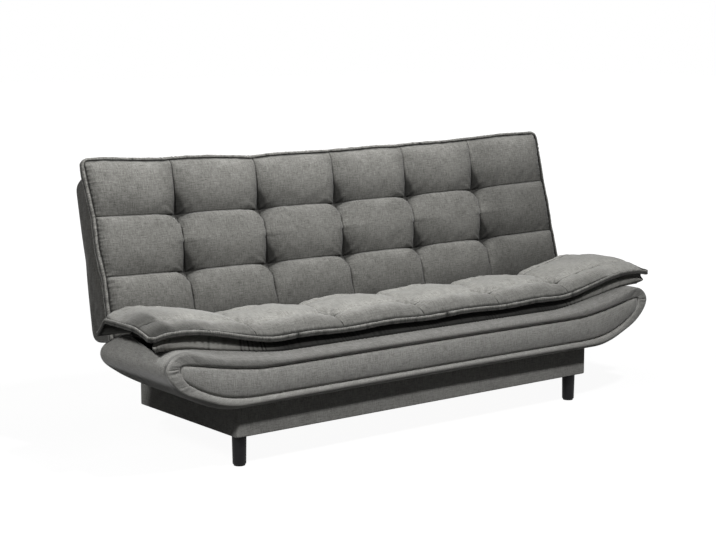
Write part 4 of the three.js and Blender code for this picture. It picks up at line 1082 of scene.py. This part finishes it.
shell_sets, uv_sets = [shell_points.reshape(-1, 3)], [shell_uv.reshape(-1, 2)]
for side, ring in ((-1, shell_table[:1]), (1, shell_table[-1:])):
    end_points, end_uv = shell_end(side)
    inner = numbers(*end_points.shape[:2], first=sum(len(part) for part in shell_sets))
    shell_faces += ring_faces(np.concatenate([ring, inner])).tolist() + [inner[-1].tolist()]
    shell_sets.append(end_points.reshape(-1, 3))
    uv_sets.append(end_uv.reshape(-1, 2))
shell_points, shell_uv = np.concatenate(shell_sets), np.concatenate(uv_sets)
# The shell wears the darker copy of the velour: painted shade.
back_shell_cover = make_piece("back_shell_cover", shell_cloth_painted_darker, shell_points, shell_faces, shell_uv)
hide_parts("back_shell")
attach(back_shell_cover, "back")

# %% [markdown]
# ## The plinth
# Four boards covered in the same cloth, pulled tight round the edges. Four boxes would leave
# gaps in the cloth at the corners, so one wall section is carried round a rounded rectangle.

# %% Plinth cover
PLINTH_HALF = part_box("plinth_front_board")[1].x
PLINTH_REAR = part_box("plinth_rear_board")[1].y
BOARD = 18 * MM
px, py, nx, ny = rounded_border(-PLINTH_HALF, PLINTH_HALF, FRONT, PLINTH_REAR, 11 * MM, 14 * MM)
wall = rounded_polygon(
    np.array([(0, PLINTH_LOW), (-BOARD, PLINTH_LOW), (-BOARD, PLINTH_HIGH), (0, PLINTH_HIGH)]),
    np.array([5, 2, 2, 4]) * MM, 8 * MM)
wall_out, wall_high = wall.T
plinth_points = spaced(px[:, None] + nx[:, None] * wall_out, py[:, None] + ny[:, None] * wall_out,
                       wall_high)
plinth_faces = ring_faces(numbers(len(px), len(wall)), wrap=True)
plinth_uv = spaced(run_along(spaced(px, py))[:, None], wall_high - wall_out)
plinth_cover = make_piece("plinth_cover", cover_cloth, plinth_points, plinth_faces, plinth_uv)
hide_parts("plinth_front_board", "plinth_rear_board", "plinth_end_board_left",
            "plinth_end_board_right")
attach(plinth_cover, "root")

# %% [markdown]
# ## Hard parts
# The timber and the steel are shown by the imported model's own solids, which are to size
# already and only need finishes. The legs and their glides are turned anew, because the solids
# have fewer sides and no rounded foot.

# %% Finishes of the hard parts
def plain_finish(name, colour, roughness, metallic=0.0, grain=0.02, grain_mm=3.0, shine=0.5):
    """A finish with a fine mottle: noise of grain_mm shifts its colour and its relief."""
    material, tree = new_finish(name)
    place = add_node(tree, "TexCoord").outputs["Object"]
    mottle = add_node(tree, "TexNoise", {"Vector": place, "Scale": 1 / (grain_mm * MM),
                                         "Detail": 3.0})
    dark = tuple(c * (1 - grain * 12) for c in linear(colour)[:3]) + (1,)
    shade = add_node(tree, "MixRGB", {"Fac": mottle, "Color1": dark, "Color2": linear(colour)})
    finish_surface(tree, shade, mottle, 0.15, 0.3 * MM, Roughness=roughness, Metallic=metallic,
                   Specular_IOR_Level=shine)
    return material


def timber(name, axis):
    """Planed softwood whose fibres run along an axis: bands of growth rings bent by noise,
    fine fibres, and both drawn out 14 times along the axis."""
    material, tree = new_finish(name)
    place = add_node(tree, "TexCoord").outputs["Object"]
    scale = tuple(0.07 if k == axis else 1.0 for k in range(3))
    drawn = add_node(tree, "Mapping", {"Vector": place, "Scale": scale})
    rings = add_node(tree, "TexWave", {"Vector": drawn, "Scale": 1 / (46 * MM), "Distortion": 5.0,
                                       "Detail": 3.0, "Detail Scale": 1.2},
                     wave_type="RINGS", rings_direction="XYZ"[axis])
    fibre = add_node(tree, "TexNoise", {"Vector": drawn, "Scale": 1 / (3 * MM), "Detail": 3.0})
    shade = add_node(tree, "MixRGB", {"Fac": rings.outputs["Fac"], "Color1": linear("#a97b4c"),
                                      "Color2": linear("#cfa876")})
    fine = add_node(tree, "MixRGB", {"Fac": fibre, "Color1": linear("#8f6a44"), "Color2": shade})
    finish_surface(tree, fine, fibre, 0.2, 0.3 * MM, Roughness=0.62)
    return material


pines = [timber("pine_along_" + "xyz"[axis], axis) for axis in range(3)]
hardboard = plain_finish("hardboard_smooth", "#7d5b3c", 0.55, grain_mm=2)
coated = plain_finish("powder_coat_satin_black", "#0d0c0f", 0.55, grain_mm=0.9, shine=0.22)
zinc = plain_finish("zinc_plate_bright", "#b4b8bb", 0.34, metallic=1.0, grain=0.015, grain_mm=4)
rubber = plain_finish("rubber_matt_black", "#141414", 0.85, grain_mm=1.5)
by_slot = {"box_board": hardboard, "black_leg": coated, "zinc_steel": zinc,
           "glide_rubber": rubber, "cover_fabric": cover_cloth, "piping_fabric": welt_cloth}
slot_of = {part["node"]: part["material_slot"] for part in frame["record"]["subparts"]}
for name, node in frame["nodes"].items():
    low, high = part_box(name)
    longest = int(np.argmax(np.array(high) - np.array(low)))
    node.data.materials.clear()
    node.data.materials.append(by_slot.get(slot_of[name], pines[longest]))
print("hard parts", len(frame["nodes"]))

# %% Tubes and turned parts
def closed_tube(path, side, other, radius, sides=10):
    """Points and quads of a round tube along an open path, with flat ends: at each point a
    circle of that radius in the plane of the directions side and other."""
    angle = np.linspace(0, 2 * pi, sides, endpoint=False)[None, :, None]
    spokes = np.cos(angle) * side[:, None] + np.sin(angle) * other[:, None]
    points = path[:, None] + radius * spokes
    table = numbers(len(path), sides)
    ends = [table[0][::-1].tolist(), table[-1].tolist()]
    return points.reshape(-1, 3), ring_faces(table).tolist() + ends


def turned(name, finish, centre, profile, sides=64):
    """A lathe form: (radius, height) pairs turned about an upright axis through centre."""
    radius, height = np.array(profile).T
    path = spaced(centre[0], centre[1], height)
    east, north = np.eye(3)[:2, None]
    points, faces = closed_tube(path, east, north, radius[:, None, None], sides)
    piece = make_piece(name, finish, points, faces, smooth=False)
    for face in piece.data.polygons:
        face.use_smooth = len(face.vertices) == 4
    return piece


# %% Legs and glides
LEG_TOP, LEG_FOOT, FOOT_EDGE, STUD = 23 * MM, 21 * MM, 3 * MM, 4 * MM    # radii

for place in ("front_left", "front_right", "rear_left", "rear_right"):
    low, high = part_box("leg_" + place)
    foot, seat_on = low.z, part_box("leg_plate_" + place)[0].z - 0.3 * MM
    centre = ((low.x + high.x) / 2, (low.y + high.y) / 2)
    edge = [(LEG_FOOT - FOOT_EDGE * (1 - sin(t)), foot + FOOT_EDGE * (1 - cos(t)))
            for t in np.linspace(0, pi / 2, 7)]
    leg = turned("turned_leg_" + place, coated, centre, edge + [
        (LEG_TOP - 0.4 * MM, seat_on - 0.6 * MM), (LEG_TOP - 0.8 * MM, seat_on), (STUD, seat_on),
        (STUD, high.z - 1 * MM), (STUD - 1 * MM, high.z)])
    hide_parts("leg_" + place)
    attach(leg, "root")
    low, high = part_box("leg_glide_" + place)
    glide = turned("turned_glide_" + place, rubber, centre, [
        (17 * MM, low.z), (17.7 * MM, low.z + 0.3 * MM),
        (18 * MM, low.z + 1 * MM), (18 * MM, high.z)])
    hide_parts("leg_glide_" + place)
    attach(glide, "root")
print("legs turned")

# %% [markdown]
# A lift spring is wire wound to a close coil, with a hook at each end. The hooks sit round the
# pin on the box and the pin on the seat's arm, so the coil shortens as the seat goes up. Its
# wire is a tube along a path, closed at its ends.

# %% Lift springs
WIRE = 1.6 * MM
COIL = 8 * MM - WIRE
HOOK = 6.9 * MM
HOOK_RUN = 26 * MM


def lift_spring(name, node):
    """A coil x, y, z = axis + COIL (cos a, sin a) with one turn for each 1.06 wire widths,
    and two hooks, each a loop round its pin and a straight run to the coil."""
    low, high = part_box(node)
    reach = HOOK + WIRE
    start = np.array([(low.x + high.x) / 2, low.y + reach, low.z + reach])
    end = np.array([(low.x + high.x) / 2, high.y - reach, high.z - reach])
    length = np.linalg.norm(end - start)
    run = (end - start) / length
    across = np.array([1.0, 0, 0])
    up = np.cross(across, run)
    turns = (length - 2 * HOOK_RUN) / (2 * WIRE * 1.06)
    a = np.linspace(0, 2 * pi * turns, int(turns * 18))[:, None]
    along = HOOK_RUN + (length - 2 * HOOK_RUN) * np.linspace(0, 1, len(a))[:, None]
    out = np.cos(a) * up + np.sin(a) * across
    parts = [closed_tube(start + along * run + COIL * out, out, run[None], WIRE, 8)]
    for pin, way in ((start, run), (end, -run)):
        t = np.linspace(radians(330), 0, 40)[:, None]
        out = np.cos(t) * way + np.sin(t) * up
        straight = pin + way * np.linspace(HOOK, HOOK_RUN + 2 * WIRE, 12)[:, None] + 0.01 * MM
        foot = pin + way * (HOOK_RUN + WIRE) + up * np.linspace(-1, 1, 8)[:, None] * COIL
        parts += [closed_tube(path, side, across[None], WIRE) for path, side in (
            (pin + HOOK * out, out), (straight, up[None]), (foot, way[None]))]
    points, faces, first = [], [], 0
    for part_points, part_faces in parts:
        points.append(part_points)
        faces += [[first + k for k in face] for face in part_faces]
        first += len(part_points)
    piece = make_piece(name, zinc, np.concatenate(points), faces)
    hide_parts(node)
    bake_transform(piece)
    return piece


for side in ("left", "right"):
    coil = lift_spring("wound_spring_" + side, "lift_spring_" + side)
print("springs wound", len(coil.data.vertices), "points each")

# %% [markdown]
# ## Hollows under the covers
# The covers are closed forms, so the spaces that the timber and the fitting stand in are cut
# out of them: a wide recess in the underside of the seat and in the front of the back shell,
# and a narrow slot at each end for the pivots. A Boolean modifier with plain boxes does it,
# because the edges that it leaves are hidden.

# %% Cut the hollows
SLOT_IN, SLOT_OUT = 714.4 * MM, 732 * MM      # across, from the middle


def cut(piece, boxes):
    """Takes boxes, each a low and a high corner and how they are placed, out of a piece."""
    corners = np.array([[i & 1, i >> 1 & 1, i >> 2 & 1] for i in range(8)])
    sides = [(0, 2, 3, 1), (4, 5, 7, 6), (0, 1, 5, 4), (2, 6, 7, 3), (0, 4, 6, 2), (1, 3, 7, 5)]
    for low, high, place in boxes:
        block = place(np.where(corners, high, low))
        cutter = make_piece("cutter", None, block, sides, np.zeros((8, 2)), np.zeros(8), False)
        remove = piece.modifiers.new("hollow", "BOOLEAN")
        remove.operation, remove.solver, remove.object = "DIFFERENCE", "EXACT", cutter
        hollowed = piece.evaluated_get(bpy.context.evaluated_depsgraph_get())
        shaped = bpy.data.meshes.new_from_object(hollowed)
        piece.modifiers.clear()
        piece.data = shaped
        bpy.data.objects.remove(cutter)
    print(piece.name, "faces", len(piece.data.polygons))


def as_is(block):
    """Leaves the corners of a box where they are."""
    return block


def turned_back(block):
    """Turns the corners of a box from the upright back's frame to its recline."""
    return on_back(*block.T)


def slots(y0, y1, z0, z1, place):
    """The boxes of the pivots' slots, one at each end, with those depths and heights."""
    return [((-SLOT_OUT, y0, z0), (-SLOT_IN, y1, z1), place),
            ((SLOT_IN, y0, z0), (SLOT_OUT, y1, z1), place)]


PAST = 20 * MM                # how far a cutter stands past the skin that it opens
SEAT_SLOT = (FRONT + 296 * MM, FRONT + 342 * MM, BODY_LOW - PAST, 386 * MM)
cut(seat_body_cover, [((-SLOT_OUT, FRONT + 22 * MM, BODY_LOW - PAST),
                       (SLOT_OUT, FRONT + 300 * MM, 326.3 * MM), as_is)] + slots(*SEAT_SLOT, as_is))
cut(seat_cushion, slots(SEAT_SLOT[0], SEAT_SLOT[1], BODY_LOW, SEAT_SLOT[3], as_is))
cut(back_shell_cover, [((-930 * MM, SHELL_FRONT - PAST, 38 * MM),
                        (930 * MM, 42 * MM, 435 * MM), turned_back)]
    + slots(SHELL_FRONT - PAST, 118 * MM, PAD_LOW - PAST, 56 * MM, turned_back))

# %% [markdown]
# ## Floor, backdrop and light
# A pale seamless floor, a weak sky, and three lamps: a wide one overhead, and two small ones,
# the key in front and above, and one on the left.

# %% Floor and world
SHADOW_NEAR, SHADOW_FAR = 1.4, 3.5            # metres, between which the shadow dies away


def seen_plainly(tree):
    """1 for rays that come from the camera, a reflection or glass, and 0 for the rest."""
    ray = add_node(tree, "LightPath").outputs
    seen = add_node(tree, "Math", {0: ray["Is Camera Ray"], 1: ray["Is Glossy Ray"]},
                    operation="MAXIMUM")
    return add_node(tree, "Math", {0: seen, 1: ray["Is Transmission Ray"]}, operation="MAXIMUM")


def stage_finish():
    """White to the camera and in reflections, and a mid grey that throws little light back
    up at the sofa; a share of the plain diffuse floor keeps the soft shadow."""
    material, tree = new_finish("floor_pale")
    low = add_node(tree, "BsdfDiffuse", {"Color": linear("#4a4a4a")})
    pale = add_node(tree, "BsdfDiffuse", {"Color": linear("#f4f4f4")})
    glow = add_node(tree, "Emission", {"Color": (1, 1, 1, 1), "Strength": 1.1})
    place = add_node(tree, "TexCoord").outputs["Object"]
    away = add_node(tree, "VectorMath", {0: place}, operation="LENGTH").outputs["Value"]
    share = add_node(tree, "MapRange", {"Value": away, "From Min": SHADOW_NEAR,
                                        "From Max": SHADOW_FAR, "To Min": 0.86, "To Max": 1.0})
    shown = add_node(tree, "MixShader", {0: share, 1: pale, 2: glow})
    both = add_node(tree, "MixShader", {0: seen_plainly(tree), 1: low, 2: shown})
    add_node(tree, "OutputMaterial", {"Surface": both})
    return material


FLOOR_HALF = 30.0             # metres
floor_points = np.array([(-1, -1, 0), (1, -1, 0), (1, 1, 0), (-1, 1, 0)]) * FLOOR_HALF
floor = make_piece("floor", stage_finish(), floor_points, [(0, 1, 2, 3)])

world = bpy.data.worlds.new("studio")
world.use_nodes = True
tree = world.node_tree
tree.nodes.clear()
sky = add_node(tree, "Background", {"Color": (1, 1, 1, 1), "Strength": 0.05})
white = add_node(tree, "Background", {"Color": (1, 1, 1, 1), "Strength": 1.0})
mixed = add_node(tree, "MixShader", {0: seen_plainly(tree), 1: sky, 2: white})
add_node(tree, "OutputWorld", {"Surface": mixed})
scene.world = world


# %% Lamps
def soft_light(name, at, towards, size, power):
    """A square area light of that size in metres and power in watts, turned to a place."""
    lamp = bpy.data.lights.new(name, "AREA")
    lamp.shape, lamp.size, lamp.energy = "SQUARE", size, power
    lamp_object = bpy.data.objects.new(name, lamp)
    direction = np.array(towards, float) - np.array(at, float)
    pitch = np.arctan2(np.hypot(direction[0], direction[1]), -direction[2])
    lamp_object.location = at
    lamp_object.rotation_euler = (pitch, 0, np.arctan2(direction[1], direction[0]) - pi / 2)
    scene.collection.objects.link(lamp_object)


SEAT_MIDDLE, LEFT_END = (0, 0, 0.4), (-0.8, 0, 0.35)
soft_light("overhead", (-0.1, -0.5, 2.2), SEAT_MIDDLE, size=0.9, power=16)
soft_light("key", (-0.1, -2.2, 3.1), SEAT_MIDDLE, size=0.24, power=72)
soft_light("side", (-2.3, -0.85, 1.5), LEFT_END, size=0.2, power=19)
